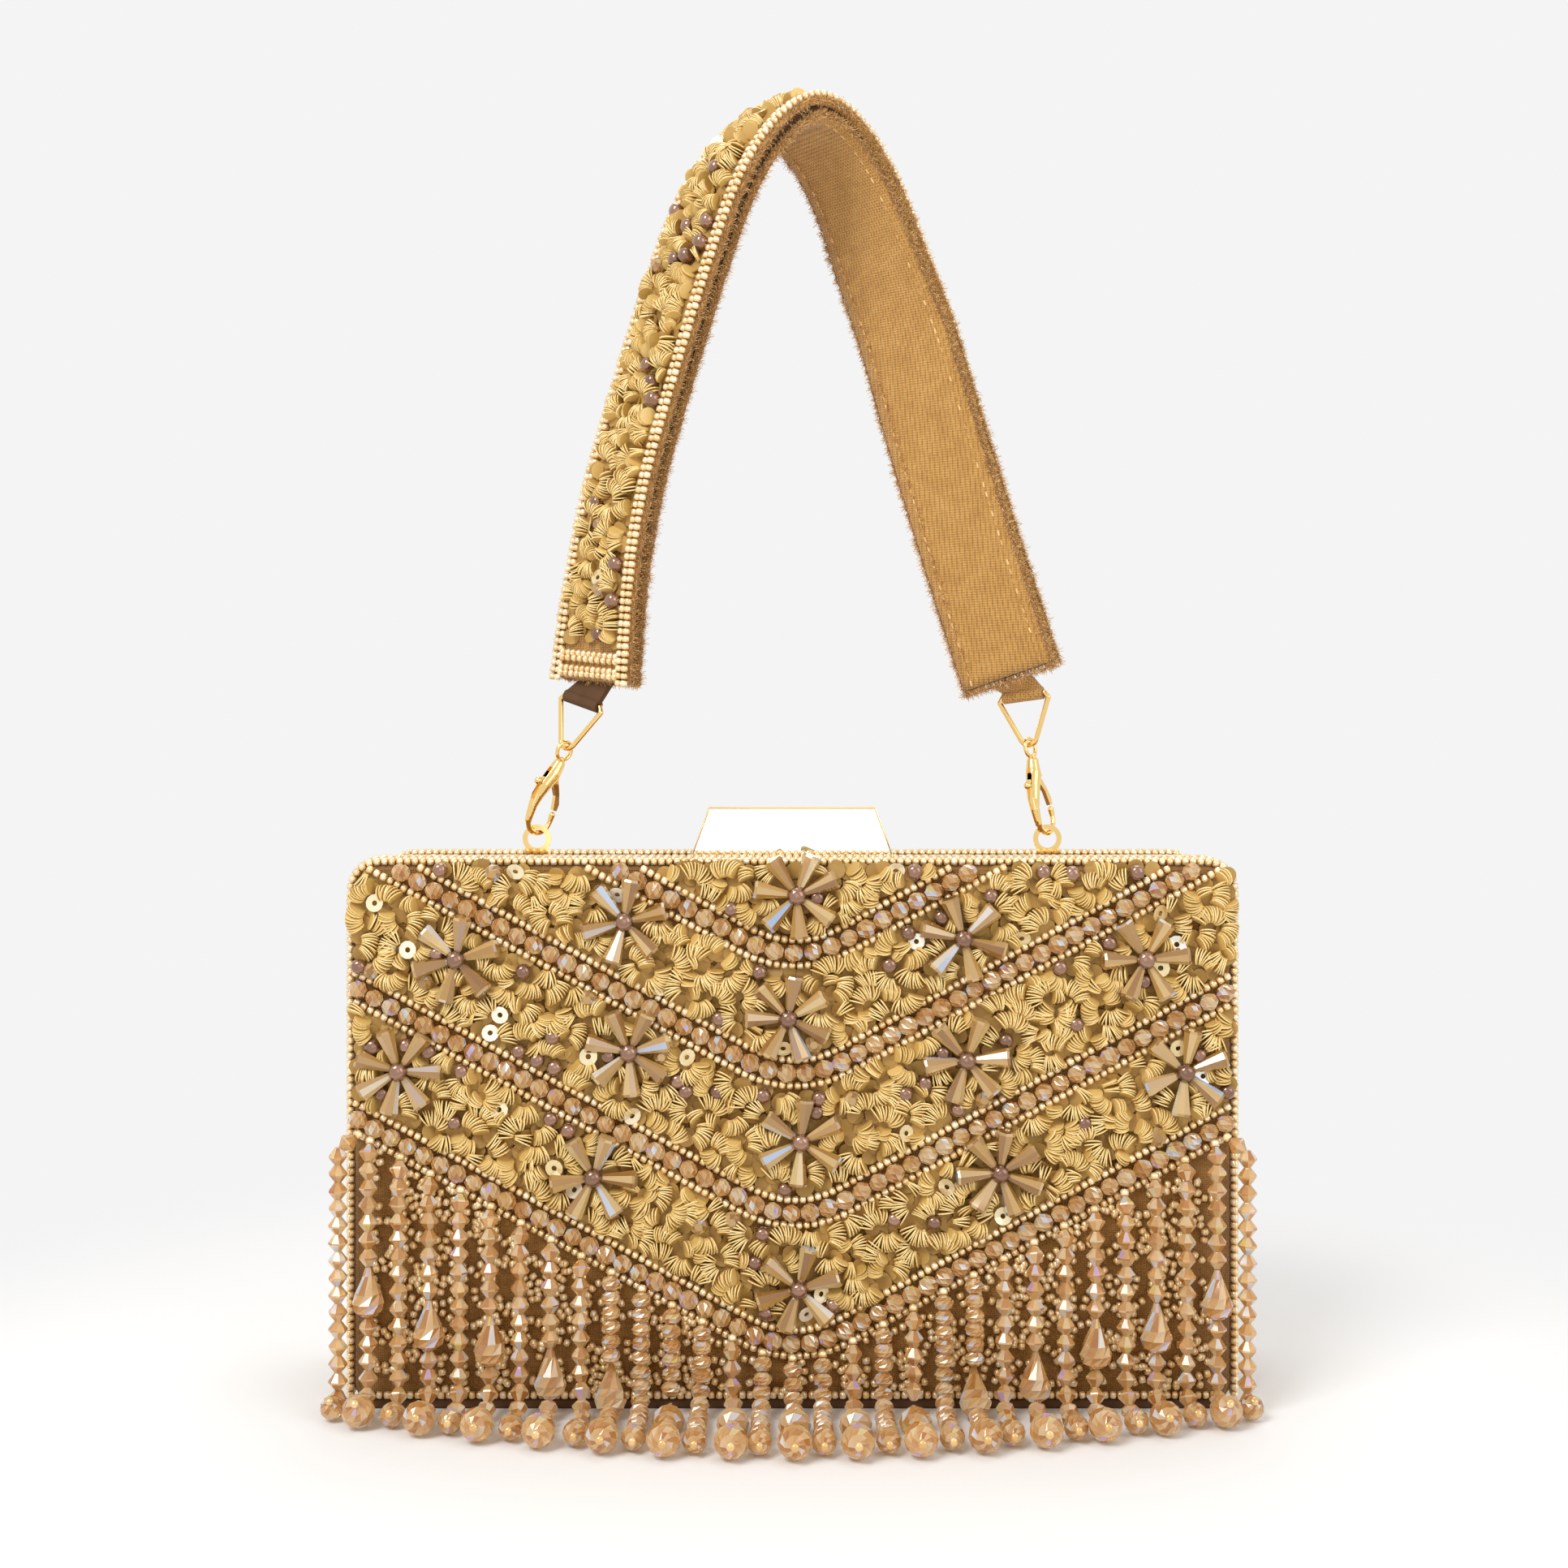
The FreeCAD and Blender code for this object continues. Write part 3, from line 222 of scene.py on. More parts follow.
def finish(name, colours, rough=(0.2, 0.3), metallic=0.0, patch=30.0, island=1.0, bump=0.0, bump_scale=400.0,
           coat=0.0, sheen=0.0, transmission=0.0, ior=1.5, stretch=(1, 1, 1), painted_glints=(), tone=0.0,
           share=0.03, weave=0.0):
    """A Principled material whose colour runs through colours by island and by patch of noise. tone is how
    much the shape's own "tone" attribute, which holds painted light and shade, moves a face along those
    colours; at 1 it wraps round, so that every facet of every bead differs from the next, as painted glints
    and shade. painted_glints are colours of painted glints that only a few faces take, each with its share.
    weave is the thread pitch of a cloth, in metres; the cloth's colour then gets painted shade between its
    threads and painted light on their tops."""
    material, tree, output = new_material(name)
    shader = tree.nodes.new("ShaderNodeBsdfPrincipled")
    tree.links.new(shader.outputs[0], output.inputs["Surface"])
    place = add_node(tree, "ShaderNodeTexCoord").outputs["Object"]
    stretched = add_node(tree, "ShaderNodeMapping", {"Vector": place, "Scale": stretch}).outputs[0]
    noise = add_node(tree, "ShaderNodeTexNoise", {"Vector": stretched, "Scale": patch, "Detail": 4.0})
    islands = add_node(tree, "ShaderNodeNewGeometry").outputs["Random Per Island"]
    blend = add_node(tree, "ShaderNodeMix", {0: island, 2: noise.outputs["Fac"], 3: islands}).outputs[0]
    # Painted light: the shape's "tone" attribute moves each face to lighter or darker colours, for painted
    # glints, reflections and shade.
    if tone:
        facet = add_node(tree, "ShaderNodeAttribute", attribute_name="tone").outputs["Fac"]
        rest = add_math(tree, "MULTIPLY", blend, 1.0 if tone == 1 else 1 - tone)
        shifted = add_math(tree, "MULTIPLY_ADD", facet, tone, rest)
        blend = add_math(tree, "FRACT" if tone == 1 else "MINIMUM", shifted, 1.0)
    colour = colour_ramp(tree, blend, colours, painted_glints, share)
    tree.links.new(colour, shader.inputs["Base Color"])
    fine = add_node(tree, "ShaderNodeTexNoise", {"Vector": stretched, "Scale": bump_scale, "Detail": 3.0})
    spread = add_node(tree, "ShaderNodeMapRange",
                      {"Value": fine.outputs["Fac"], "To Min": rough[0], "To Max": rough[1]})
    tree.links.new(spread.outputs[0], shader.inputs["Roughness"])
    shader.inputs["Metallic"].default_value = metallic
    shader.inputs["IOR"].default_value = ior
    shader.inputs["Coat Weight"].default_value = coat
    shader.inputs["Coat Roughness"].default_value = 0.05
    shader.inputs["Sheen Weight"].default_value = sheen
    shader.inputs["Sheen Roughness"].default_value = 0.4
    shader.inputs["Transmission Weight"].default_value = transmission
    if bump:
        height = fine.outputs["Fac"]
        if weave:
            for axis in "XYZ":
                sockets = {"Vector": place, "Scale": THREADS_PER_SCALE / weave, "Distortion": 0.6}
                threads = add_node(tree, "ShaderNodeTexWave", sockets, bands_direction=axis)
                height = add_math(tree, "MULTIPLY_ADD", threads.outputs["Fac"], 0.8, height)
            # Painted light and shade on a cloth: its colour is darkened between the threads and lightened on
            # their tops, with the fine noise's random tone mixed in.
            thread_light_and_shade = add_node(tree, "ShaderNodeMapRange", {
                "Value": height, "From Min": 0.6, "From Max": 2.2, "To Min": 0.55, "To Max": 1.15})
            shaded = add_node(tree, "ShaderNodeMix", {"Factor": 1.0, "A": colour, "B": thread_light_and_shade.outputs[0]},
                              data_type="RGBA", blend_type="MULTIPLY")
            tree.links.new(shaded.outputs["Result"], shader.inputs["Base Color"])
        bumps = add_node(tree, "ShaderNodeBump", {"Height": height, "Strength": bump, "Distance": BUMP_DEPTH})
        tree.links.new(bumps.outputs[0], shader.inputs["Normal"])
    return material


# %% The bag's finishes
GOLD = finish("polished_gold", [(0.93, 0.62, 0.22), (0.98, 0.72, 0.32)], (0.04, 0.09), 1.0, patch=60,
              island=0.0)
# Painted reflection: the clasp bar's gold is made almost white, standing in for the bright white reflection
# on it.
CLASP_GOLD_PAINTED_REFLECTION = finish("clasp_gold_painted_reflection", [(1.0, 0.90, 0.70), (1.0, 0.93, 0.77)], (0.02, 0.05), 1.0, patch=25,
                   island=0.0)
STEEL = finish("spring_steel", [(0.5, 0.5, 0.5), (0.6, 0.6, 0.6)], (0.25, 0.35), 1.0, island=0.0)
# A seed bead is lighter in its middle, where its silver lining shows, and amber at its ends; the lightness is
# partly the lining's colour and partly a painted reflection.
SEED_GOLD = finish("gold_seed_beads", [(1.0, 0.93, 0.74), (0.96, 0.78, 0.46), (0.86, 0.58, 0.24),
                                       (0.66, 0.37, 0.11)], (0.06, 0.16), 0.5, coat=0.8, ior=1.52, tone=0.6)
# Painted glints: white, yellow, violet and blue flashes that a few facets of the peach crystals take.
AB_PAINTED_GLINTS = [(0.95, 0.75, 0.18), (0.95, 0.96, 0.98), (0.98, 0.98, 1.0), (0.72, 0.48, 0.85),
              (0.80, 0.90, 0.98)]
# Painted glints and shade: each facet of a peach crystal takes a lighter or darker colour at random.
PEACH = finish("peach_crystal", [(0.56, 0.23, 0.05), (0.74, 0.39, 0.12), (0.86, 0.52, 0.20),
                                 (0.92, 0.63, 0.30), (0.96, 0.78, 0.52)], (0.01, 0.05), 0.0, coat=0.6,
               transmission=0.5, ior=1.52, painted_glints=AB_PAINTED_GLINTS, tone=1.0, share=0.02)
# Painted light and shade: through the "tone" attribute a roll's rims take the lighter colours and its flats
# the darker ones.
SEQUIN = finish("sand_sequin", [(0.42, 0.25, 0.055), (0.60, 0.38, 0.10), (0.75, 0.50, 0.16),
                                (0.86, 0.62, 0.23), (0.92, 0.72, 0.34)], (0.34, 0.5), 0.0, coat=0.2,
                tone=0.55)
# Painted shade: the flat sequins under the rolls are darker, as the shade they lie in.
SEQUIN_PAINTED_SHADE = finish("shaded_sequin", [(0.34, 0.19, 0.04), (0.50, 0.30, 0.075)], (0.5, 0.7), 0.0)
SEQUIN_BRIGHT = finish("bright_sequin", [(0.80, 0.62, 0.30), (0.90, 0.80, 0.52), (1.0, 0.98, 0.90)],
                       (0.08, 0.2), 0.4, coat=0.6)
PEARL = finish("bronze_pearl", [(0.22, 0.105, 0.06), (0.30, 0.155, 0.095), (0.38, 0.21, 0.135)],
               (0.12, 0.2), 0.75, coat=1.0)
# Painted glints and shade: pale, blue and amber flashes for a few facets of the smoky crystals, and each
# facet lighter or darker at random.
SMOKE_PAINTED_GLINTS = [(0.90, 0.88, 0.88), (0.45, 0.62, 0.92), (0.96, 0.92, 0.86), (0.85, 0.62, 0.25)]
SMOKE = finish("smoky_crystal", [(0.36, 0.16, 0.03), (0.54, 0.29, 0.07), (0.72, 0.43, 0.13),
                                 (0.88, 0.62, 0.27), (0.44, 0.21, 0.05)], (0.01, 0.05), 0.0, coat=1.0,
               transmission=0.4, ior=1.52, painted_glints=SMOKE_PAINTED_GLINTS, tone=1.0)
SILK = finish("slub_silk", [(0.27, 0.115, 0.02), (0.38, 0.18, 0.035), (0.48, 0.25, 0.06)], (0.38, 0.6), 0.0,
              patch=90, island=0.0, bump=0.8, bump_scale=900, sheen=0.25, stretch=(1, 1, 5), weave=0.45 * MM)
VELVET = finish("velvet", [(0.44, 0.21, 0.045), (0.58, 0.30, 0.075), (0.70, 0.40, 0.12)], (0.75, 0.95), 0.0,
                patch=260, island=0.0, bump=0.7, bump_scale=1500, sheen=0.35, weave=0.6 * MM)
# Painted shade: a darkened copy of the velvet, for the places that lie in shadow.
VELVET_PAINTED_SHADE = finish("velvet_painted_shade", [(0.07, 0.03, 0.01), (0.13, 0.06, 0.02)], (0.8, 0.95), 0.0, patch=260,
                     island=0.0)
PILE = finish("velvet_pile", [(0.42, 0.20, 0.045), (0.64, 0.36, 0.11), (0.86, 0.58, 0.26)], (0.6, 0.9), 0.0,
              sheen=0.3)
SUEDE = finish("suede_lining", [(0.19, 0.10, 0.045), (0.27, 0.15, 0.07)], (0.8, 0.95), 0.0, patch=120,
               island=0.0, bump=0.5, bump_scale=2500, sheen=0.4)
BOARD = finish("shell_board", [(0.05, 0.035, 0.03), (0.07, 0.05, 0.045)], (0.5, 0.65), 0.0, island=0.0)

# %% [markdown]
# ## Finishes on the frame's own pieces
# The metal fittings, the shells and the linings have their true shape already, so they only get a better
# material in place of the plain one.

# %% Give the frame's pieces their finish
FRAME_FINISHES = {
    "gold": (GOLD, ["rear_frame", "front_frame", "rear_hinge_knuckles", "front_hinge_knuckles", "hinge_pin",
                    "clasp_bracket", "clasp_pin", "front_catch", "bracket_rivets", "lug_rivets",
                    "catch_rivets", "left_lug", "right_lug", "left_clip_body", "right_clip_body",
                    "left_clip_trigger", "right_clip_trigger", "left_clip_pin", "right_clip_pin",
                    "left_triangle_ring", "right_triangle_ring"]),
    "pale gold": (CLASP_GOLD_PAINTED_REFLECTION, ["clasp_bar"]),
    "steel": (STEEL, ["clasp_spring"]),
    "silk": (SILK, ["rear_cover", "front_cover"]),
    "suede": (SUEDE, ["rear_lining", "front_lining", "slip_pocket"]),
    "board": (BOARD, ["rear_shell", "front_shell"]),
    "velvet": (VELVET, ["right_strap_tab"]),
    # Painted shade: the left strap tab and the strap core take the darkened velvet.
    "shaded velvet": (VELVET_PAINTED_SHADE, ["left_strap_tab", "strap_core"]),
}
for material, nodes in FRAME_FINISHES.values():
    for node in nodes:
        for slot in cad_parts[node].material_slots:
            slot.material = material

# %% Mesh helpers
def new_mesh(name, verts, faces=(), edges=()):
    mesh = bpy.data.meshes.new(name)
    mesh.from_pydata([tuple(v) for v in verts], list(edges), list(faces))
    mesh.update()
    return mesh


def ring_faces(rows, count):
    """Faces of a closed shape whose vertices are rows rings of count points each, with a cap at each end."""
    faces = []
    for row in range(rows - 1):
        for k in range(count):
            a, b = row * count + k, row * count + (k + 1) % count
            faces.append((a, b, b + count, a + count))
    faces.append(tuple(range(count))[::-1])
    faces.append(tuple(range((rows - 1) * count, rows * count)))
    return faces


def keep(name, mesh, body):
    """Makes the mesh a piece that rides on body."""
    mesh.name = name
    piece = bpy.data.objects.new(name, mesh)
    bpy.context.collection.objects.link(piece)
    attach(piece, body)
    print(f"{name:32s} {sum(len(p.vertices) - 2 for p in mesh.polygons):7d} triangles")
    return piece


# %% [markdown]
# ## The clasp bar's rim
# The bar is a mirror and takes the tone of the room, so only its thin polished edge tells its outline. The
# rim is a fine rounded bead round the front face, whose corners are read from the frame.

# %% Clasp rim
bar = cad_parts["clasp_bar"].data
front_y = min(v.co.y for v in bar.vertices)
front = [v.co for v in bar.vertices if v.co.y < front_y + 0.05 * MM]
corners = sorted({(round(p.x, 5), round(p.z, 5)) for p in front})
middle_x, middle_z = (sum(c[k] for c in corners) / len(corners) for k in (0, 1))
corners.sort(key=lambda c: math.atan2(c[1] - middle_z, c[0] - middle_x))
print("clasp face corners", corners)
rim_curve = bpy.data.curves.new("clasp_rim", "CURVE")
rim_curve.dimensions, rim_curve.bevel_depth, rim_curve.bevel_resolution = "3D", 0.22 * MM, 2
rim_line = rim_curve.splines.new("POLY")
rim_line.points.add(len(corners) - 1)
for point, (x, z) in zip(rim_line.points, corners):
    point.co = (x, front_y, z, 1)
rim_line.use_cyclic_u = True
rim_object = bpy.data.objects.new("clasp_rim_curve", rim_curve)
bpy.context.collection.objects.link(rim_object)
rim_mesh = bpy.data.meshes.new_from_object(rim_object.evaluated_get(bpy.context.evaluated_depsgraph_get()))
bpy.data.objects.remove(rim_object)
rim_mesh.materials.clear()
rim_mesh.materials.append(GOLD)
keep("clasp_rim", rim_mesh, "clasp_lever")

# %% [markdown]
# ## Small bead shapes
# A bag like this carries thousands of beads, so each shape has only a few dozen faces. Every one is made
# with its hole along Z, and the trees below turn it to its row.


# %% Bead shapes
def lathe(name, profile, sides, smooth=False, twist=0.0):
    """A closed shape turned round Z from (radius, z) pairs; twist turns each ring by half a facet."""
    verts = []
    for ring, (radius, z) in enumerate(profile):
        for k in range(sides):
            angle = 2 * math.pi * (k + twist * ring) / sides
            verts.append((radius * math.cos(angle), radius * math.sin(angle), z))
    mesh = new_mesh(name, verts, ring_faces(len(profile), sides))
    for polygon in mesh.polygons:
        polygon.use_smooth = smooth
    return with_painted_light(bpy.data.objects.new(name, mesh), along=smooth)


def with_painted_light(piece, along=False):
    """Stores how light each face is, as painted light: by its place along Z on a smooth bead, lighter in the
    middle where a seed bead's lining shows, partly its colour and partly a painted reflection; else painted
    glints and shade at random per face.
    """
    mesh = piece.data
    if along:
        far = max(abs(v.co.z) for v in mesh.vertices) or 1.0
        values = [abs(v.co.z) / far for v in mesh.vertices]
    else:
        values = np.random.default_rng(len(mesh.polygons)).uniform(0, 1, len(mesh.polygons))
    tones = mesh.attributes.new("tone", "FLOAT", "POINT" if along else "FACE")
    tones.data.foreach_set("value", np.array(values, dtype=float))
    return piece


def round_profile(radius, half, steps):
    """(radius, z) pairs of a rounded bead with a flat at each end."""
    return [(radius * math.sin(math.pi * (0.12 + 0.76 * k / steps)), -half * math.cos(math.pi * k / steps))
            for k in range(steps + 1)]


def bead(name, rings, sides, **options):
    """A bead from (radius, z) pairs in millimetres."""
    return lathe(name, [(radius * MM, z * MM) for radius, z in rings], sides, **options)


SEED_BEAD = bead("seed_bead", [(0.5, -0.8), (0.92, -0.6), (0.98, 0.0), (0.92, 0.6), (0.5, 0.8)], 8,
                 smooth=True)
BICONE = bead("bicone", [(0.8, -2.0), (2.2, -0.2), (2.2, 0.2), (0.8, 2.0)], 8)
RONDELLE = bead("rondelle", [(1.1, -1.6), (2.0, -0.85), (2.3, 0.0), (2.0, 0.85), (1.1, 1.6)], 9, twist=0.5)
ROUND_CRYSTAL = bead("round_crystal", [(0.9, -2.1), (1.85, -1.15), (2.2, 0.0), (1.85, 1.15), (0.9, 2.1)], 9,
                     twist=0.5)
PEARL_BEAD = lathe("pearl_bead", round_profile(1.85 * MM, 1.75 * MM, 7), 12, smooth=True)
print("seed bead faces", len(SEED_BEAD.data.polygons), "bicone faces", len(BICONE.data.polygons))


SEQUIN_SIDES = 12


def sequin_disc(verts, faces, centre, normal, radius, thick):
    """One sequin as a thin disc round centre, square to normal."""
    side = normal.cross(Vector((0.2, 0.1, 1)) if abs(normal.z) < 0.9 else Vector((1, 0, 0))).normalized()
    other = normal.cross(side)
    start = len(verts)
    for level in (-thick / 2, thick / 2):
        for k in range(SEQUIN_SIDES):
            angle = 2 * math.pi * k / SEQUIN_SIDES
            around = side * radius * math.cos(angle) + other * radius * math.sin(angle)
            verts.append(centre + normal * level + around)
    faces.append(tuple(start + k for k in range(SEQUIN_SIDES))[::-1])
    faces.append(tuple(start + SEQUIN_SIDES + k for k in range(SEQUIN_SIDES)))
    for k in range(SEQUIN_SIDES):
        a, b = start + k, start + (k + 1) % SEQUIN_SIDES
        faces.append((a, b, b + SEQUIN_SIDES, a + SEQUIN_SIDES))


def sequin_stack(name, count, lean, bend, seed):
    """4 mm sequins threaded like coins on a string that lies on the cloth: they lean over one another,
    and the string curves by bend degrees from each to the next."""
    random = np.random.default_rng(seed)
    verts, faces = [], []
    radius, thick, pitch = 2.0 * MM, 0.30 * MM, 0.52 * MM
    heading, place = -math.radians(bend) * count / 2, Vector((-pitch * count / 2, 0, 0))
    for disc in range(count):
        slant = math.radians(lean + random.normal(0, 4))
        turn = heading + random.normal(0, 0.06)
        normal = Vector((math.cos(turn) * math.sin(slant), math.sin(turn) * math.sin(slant), math.cos(slant)))
        height = radius * math.sin(slant) * 0.9 + 0.25 * MM + random.normal(0, 0.08 * MM)
        sequin_disc(verts, faces, place + Vector((0, 0, height)), normal, radius, thick)
        place += Vector((math.cos(heading), math.sin(heading), 0)) * pitch
        heading += math.radians(bend)
    mesh = new_mesh(name, verts, faces)
    # Painted light and shade: a roll's rims are painted lighter and its flats darker.
    rim_light_and_flat_shade = [1.0 if len(face) == 4 else 0.35 for face in faces]      # the flats of a roll lie in its shade
    mesh.attributes.new("tone", "FLOAT", "FACE").data.foreach_set("value", np.array(rim_light_and_flat_shade, dtype=float))
    return bpy.data.objects.new(name, mesh)


def holed_sequin(name, lean):
    """A single sequin that shows its hole."""
    sides = SEQUIN_SIDES
    rings = ((2.05 * MM, 0.0), (2.05 * MM, 0.2 * MM), (0.62 * MM, 0.05 * MM), (0.62 * MM, -0.1 * MM))
    verts, faces = [], []
    slant = math.radians(lean)
    for radius, z in rings:
        for k in range(sides):
            angle = 2 * math.pi * k / sides
            x, y = radius * math.cos(angle), radius * math.sin(angle)
            up = z * math.cos(slant) - x * math.sin(slant) + 1.2 * MM
            verts.append((x * math.cos(slant) + z * math.sin(slant), y, up))
    for ring in range(4):
        for k in range(sides):
            a, b = ring * sides + k, ring * sides + (k + 1) % sides
            c, d = (ring + 1) % 4 * sides + (k + 1) % sides, (ring + 1) % 4 * sides + k
            faces.append((a, b, c, d))
    return bpy.data.objects.new(name, new_mesh(name, verts, faces))


def collect(name, pieces):
    """A collection of shapes for a tree to pick from; it isn't shown itself."""
    collection = bpy.data.collections.new(name)
    for piece in pieces:
        collection.objects.link(piece)
    return collection


# each stack: number of sequins, lean, bend from one to the next, in degrees
STACK_SHAPES = ((3, 62, 6), (4, 78, -8), (5, 70, 10), (6, 76, -7), (7, 66, 6), (8, 74, -9), (9, 80, 8),
                (10, 68, -7), (12, 76, 9), (8, 84, 5))
STACKS = [sequin_stack(f"stack_{i}", *shape, i) for i, shape in enumerate(STACK_SHAPES)]
LOOSE = [holed_sequin("loose_0", 12), holed_sequin("loose_1", 34)]
FLAT = sequin_stack("flat_sequins", 2, 14, 40, 50)
print("stack faces", [len(stack.data.polygons) for stack in STACKS])

# %% [markdown]
# ## Four trees that repeat beads
# **Beads along a line** turns the edges of a mesh into curves and sets a bead every so far, with its hole
# along the row. **Beads on points** sets one on each vertex and aims it by a stored direction. **Scatter**
# spreads shapes over faces with a least distance. **Placed shapes** puts a chosen shape on each vertex with a
# stored turn, for a ground whose pieces have to lie side by side. All four end by turning the instances
# into real mesh, and their inputs are named and seeded.


# %% Tree helpers
def new_tree(name, inputs):
    """A geometry tree with the named inputs (name, socket type, default) and one geometry output."""
    tree = bpy.data.node_groups.new(name, "GeometryNodeTree")
    tree.interface.new_socket("Geometry", in_out="INPUT", socket_type="NodeSocketGeometry")
    for label, kind, default in inputs:
        socket = tree.interface.new_socket(label, in_out="INPUT", socket_type="NodeSocket" + kind)
        if default is not None:
            socket.default_value = default
    tree.interface.new_socket("Geometry", in_out="OUTPUT", socket_type="NodeSocketGeometry")
    return tree, tree.nodes.new("NodeGroupInput"), tree.nodes.new("NodeGroupOutput")


def random_value(tree, source, low, high, kind="FLOAT"):
    """A random value between low and high for each instance, seeded by the tree's input."""
    node = tree.nodes.new("FunctionNodeRandomValue")
    node.data_type = kind
    for label, value in (("Min", low), ("Max", high)):
        next(s for s in node.inputs if s.name == label and s.enabled).default_value = value
    tree.links.new(source.outputs["Seed"], node.inputs["Seed"])
    return next(s for s in node.outputs if s.enabled)


def object_geometry(tree, source):
    """The bead that the tree's input names."""
    sockets = {"As Instance": True, "Object": source.outputs["Bead"]}
    return add_node(tree, "GeometryNodeObjectInfo", sockets).outputs["Geometry"]


def collection_shapes(tree, source):
    """The shapes of the input's collection, as instances to pick from."""
    sockets = {"Separate Children": True, "Reset Children": True, "Collection": source.outputs["Shapes"]}
    return add_node(tree, "GeometryNodeCollectionInfo", sockets).outputs[0]


def stored(tree, label, kind):
    """A named attribute of the base mesh."""
    node = add_node(tree, "GeometryNodeInputNamedAttribute", {"Name": label}, data_type=kind)
    return next(o for o in node.outputs if o.enabled and o.name == "Attribute")


def jittered_size(tree, source):
    """One, more or less by up to the Size Jitter input."""
    return add_math(tree, "MULTIPLY_ADD", random_value(tree, source, -1.0, 1.0),
                    source.outputs["Size Jitter"], 1.0)


FULL_TURN = 6.28


def spun(tree, source, instances, tilt):
    """Turns each instance by any angle about its own Z, and tips it by up to tilt, in radians."""
    turn = random_value(tree, source, (-tilt, -tilt, 0), (tilt, tilt, FULL_TURN), "FLOAT_VECTOR")
    sockets = {"Instances": instances, "Rotation": turn}
    return add_node(tree, "GeometryNodeRotateInstances", sockets).outputs[0]


def end_tree(tree, instances, source, output):
    """Turns the instances into real mesh and paints it."""
    real = add_node(tree, "GeometryNodeRealizeInstances", {0: instances}).outputs[0]
    sockets = {"Geometry": real, "Material": source.outputs["Material"]}
    paint = add_node(tree, "GeometryNodeSetMaterial", sockets)
    tree.links.new(paint.outputs[0], output.inputs[0])
    return tree


# %% Tree: beads along a line
def line_tree():
    tree, source, output = new_tree("beads_along_a_line", [
        ("Bead", "Object", None), ("Pitch", "Float", SEED), ("Size Jitter", "Float", 0.06),
        ("Seed", "Int", 1), ("Material", "Material", None)])
    curve = add_node(tree, "GeometryNodeMeshToCurve", {0: source.outputs["Geometry"]}).outputs[0]
    points = add_node(tree, "GeometryNodeCurveToPoints", {0: curve, "Length": source.outputs["Pitch"]},
                      mode="LENGTH").outputs
    place = add_node(tree, "GeometryNodeInstanceOnPoints", {
        "Points": points["Points"], "Instance": object_geometry(tree, source),
        "Rotation": points["Rotation"], "Scale": jittered_size(tree, source)})
    return end_tree(tree, spun(tree, source, place.outputs[0], 0.1), source, output)


# %% Tree: beads on points
def point_tree():
    tree, source, output = new_tree("beads_on_points", [
        ("Bead", "Object", None), ("Seed", "Int", 1), ("Material", "Material", None)])
    aim = add_node(tree, "FunctionNodeAlignRotationToVector", {"Vector": stored(tree, "aim", "FLOAT_VECTOR")},
                   axis="Z").outputs[0]
    place = add_node(tree, "GeometryNodeInstanceOnPoints", {
        "Points": source.outputs["Geometry"], "Instance": object_geometry(tree, source),
        "Rotation": aim, "Scale": stored(tree, "size", "FLOAT")})
    return end_tree(tree, spun(tree, source, place.outputs[0], 0), source, output)


# %% Tree: scatter over faces
def scatter_tree():
    tree, source, output = new_tree("scatter_over_faces", [
        ("Shapes", "Collection", None), ("Spacing", "Float", 3.0 * MM), ("Sink", "Float", 0.0),
        ("Seed", "Int", 1), ("Material", "Material", None)])
    spread = add_node(tree, "GeometryNodeDistributePointsOnFaces", distribute_method="POISSON")
    spread.inputs["Density Max"].default_value = 400000.0
    for label, socket in (("Geometry", "Mesh"), ("Spacing", "Distance Min"), ("Seed", "Seed")):
        tree.links.new(source.outputs[label], spread.inputs[socket])
    place = add_node(tree, "GeometryNodeInstanceOnPoints", {
        "Points": spread.outputs["Points"], "Instance": collection_shapes(tree, source),
        "Pick Instance": True, "Rotation": spread.outputs["Rotation"],
        "Scale": random_value(tree, source, 0.9, 1.06)})
    depth = add_math(tree, "MULTIPLY", source.outputs["Sink"], -1.0)
    down = add_node(tree, "ShaderNodeCombineXYZ", {"Z": depth})
    lower = add_node(tree, "GeometryNodeTranslateInstances", {
        "Instances": spun(tree, source, place.outputs[0], 0.2), "Translation": down.outputs[0]})
    return end_tree(tree, lower.outputs[0], source, output)


# %% Tree: placed shapes
def placed_tree():
    tree, source, output = new_tree("placed_shapes", [
        ("Shapes", "Collection", None), ("Size Jitter", "Float", 0.05), ("Seed", "Int", 1),
        ("Material", "Material", None)])
    place = add_node(tree, "GeometryNodeInstanceOnPoints", {
        "Points": source.outputs["Geometry"], "Instance": collection_shapes(tree, source),
        "Pick Instance": True, "Instance Index": stored(tree, "shape", "INT"),
        "Rotation": stored(tree, "turn", "QUATERNION"), "Scale": jittered_size(tree, source)})
    return end_tree(tree, place.outputs[0], source, output)


LINE_TREE, POINT_TREE, SCATTER_TREE, PLACED_TREE = line_tree(), point_tree(), scatter_tree(), placed_tree()

# %% [markdown]
# ## From a tree to a plain piece
# A modifier's inputs are set by the socket's identifier. The evaluated result is copied to a plain mesh,
# which becomes the piece, and the object that carried the modifier is removed.


# %% Grow a piece from a tree
def grow(name, base, tree, body, slot, **inputs):
    """Runs a tree on a base mesh and keeps the result as a plain piece that rides on body."""
    carrier = bpy.data.objects.new(name + "_carrier", base)
    bpy.context.collection.objects.link(carrier)
    modifier = carrier.modifiers.new("beads", "NODES")
    modifier.node_group = tree
    for item in tree.interface.items_tree:
        if item.in_out == "INPUT" and item.name in inputs:
            modifier[item.identifier] = inputs[item.name]
    graph = bpy.context.evaluated_depsgraph_get()
    mesh = bpy.data.meshes.new_from_object(carrier.evaluated_get(graph), depsgraph=graph)
    bpy.data.objects.remove(carrier)
    return keep(name, mesh, body)


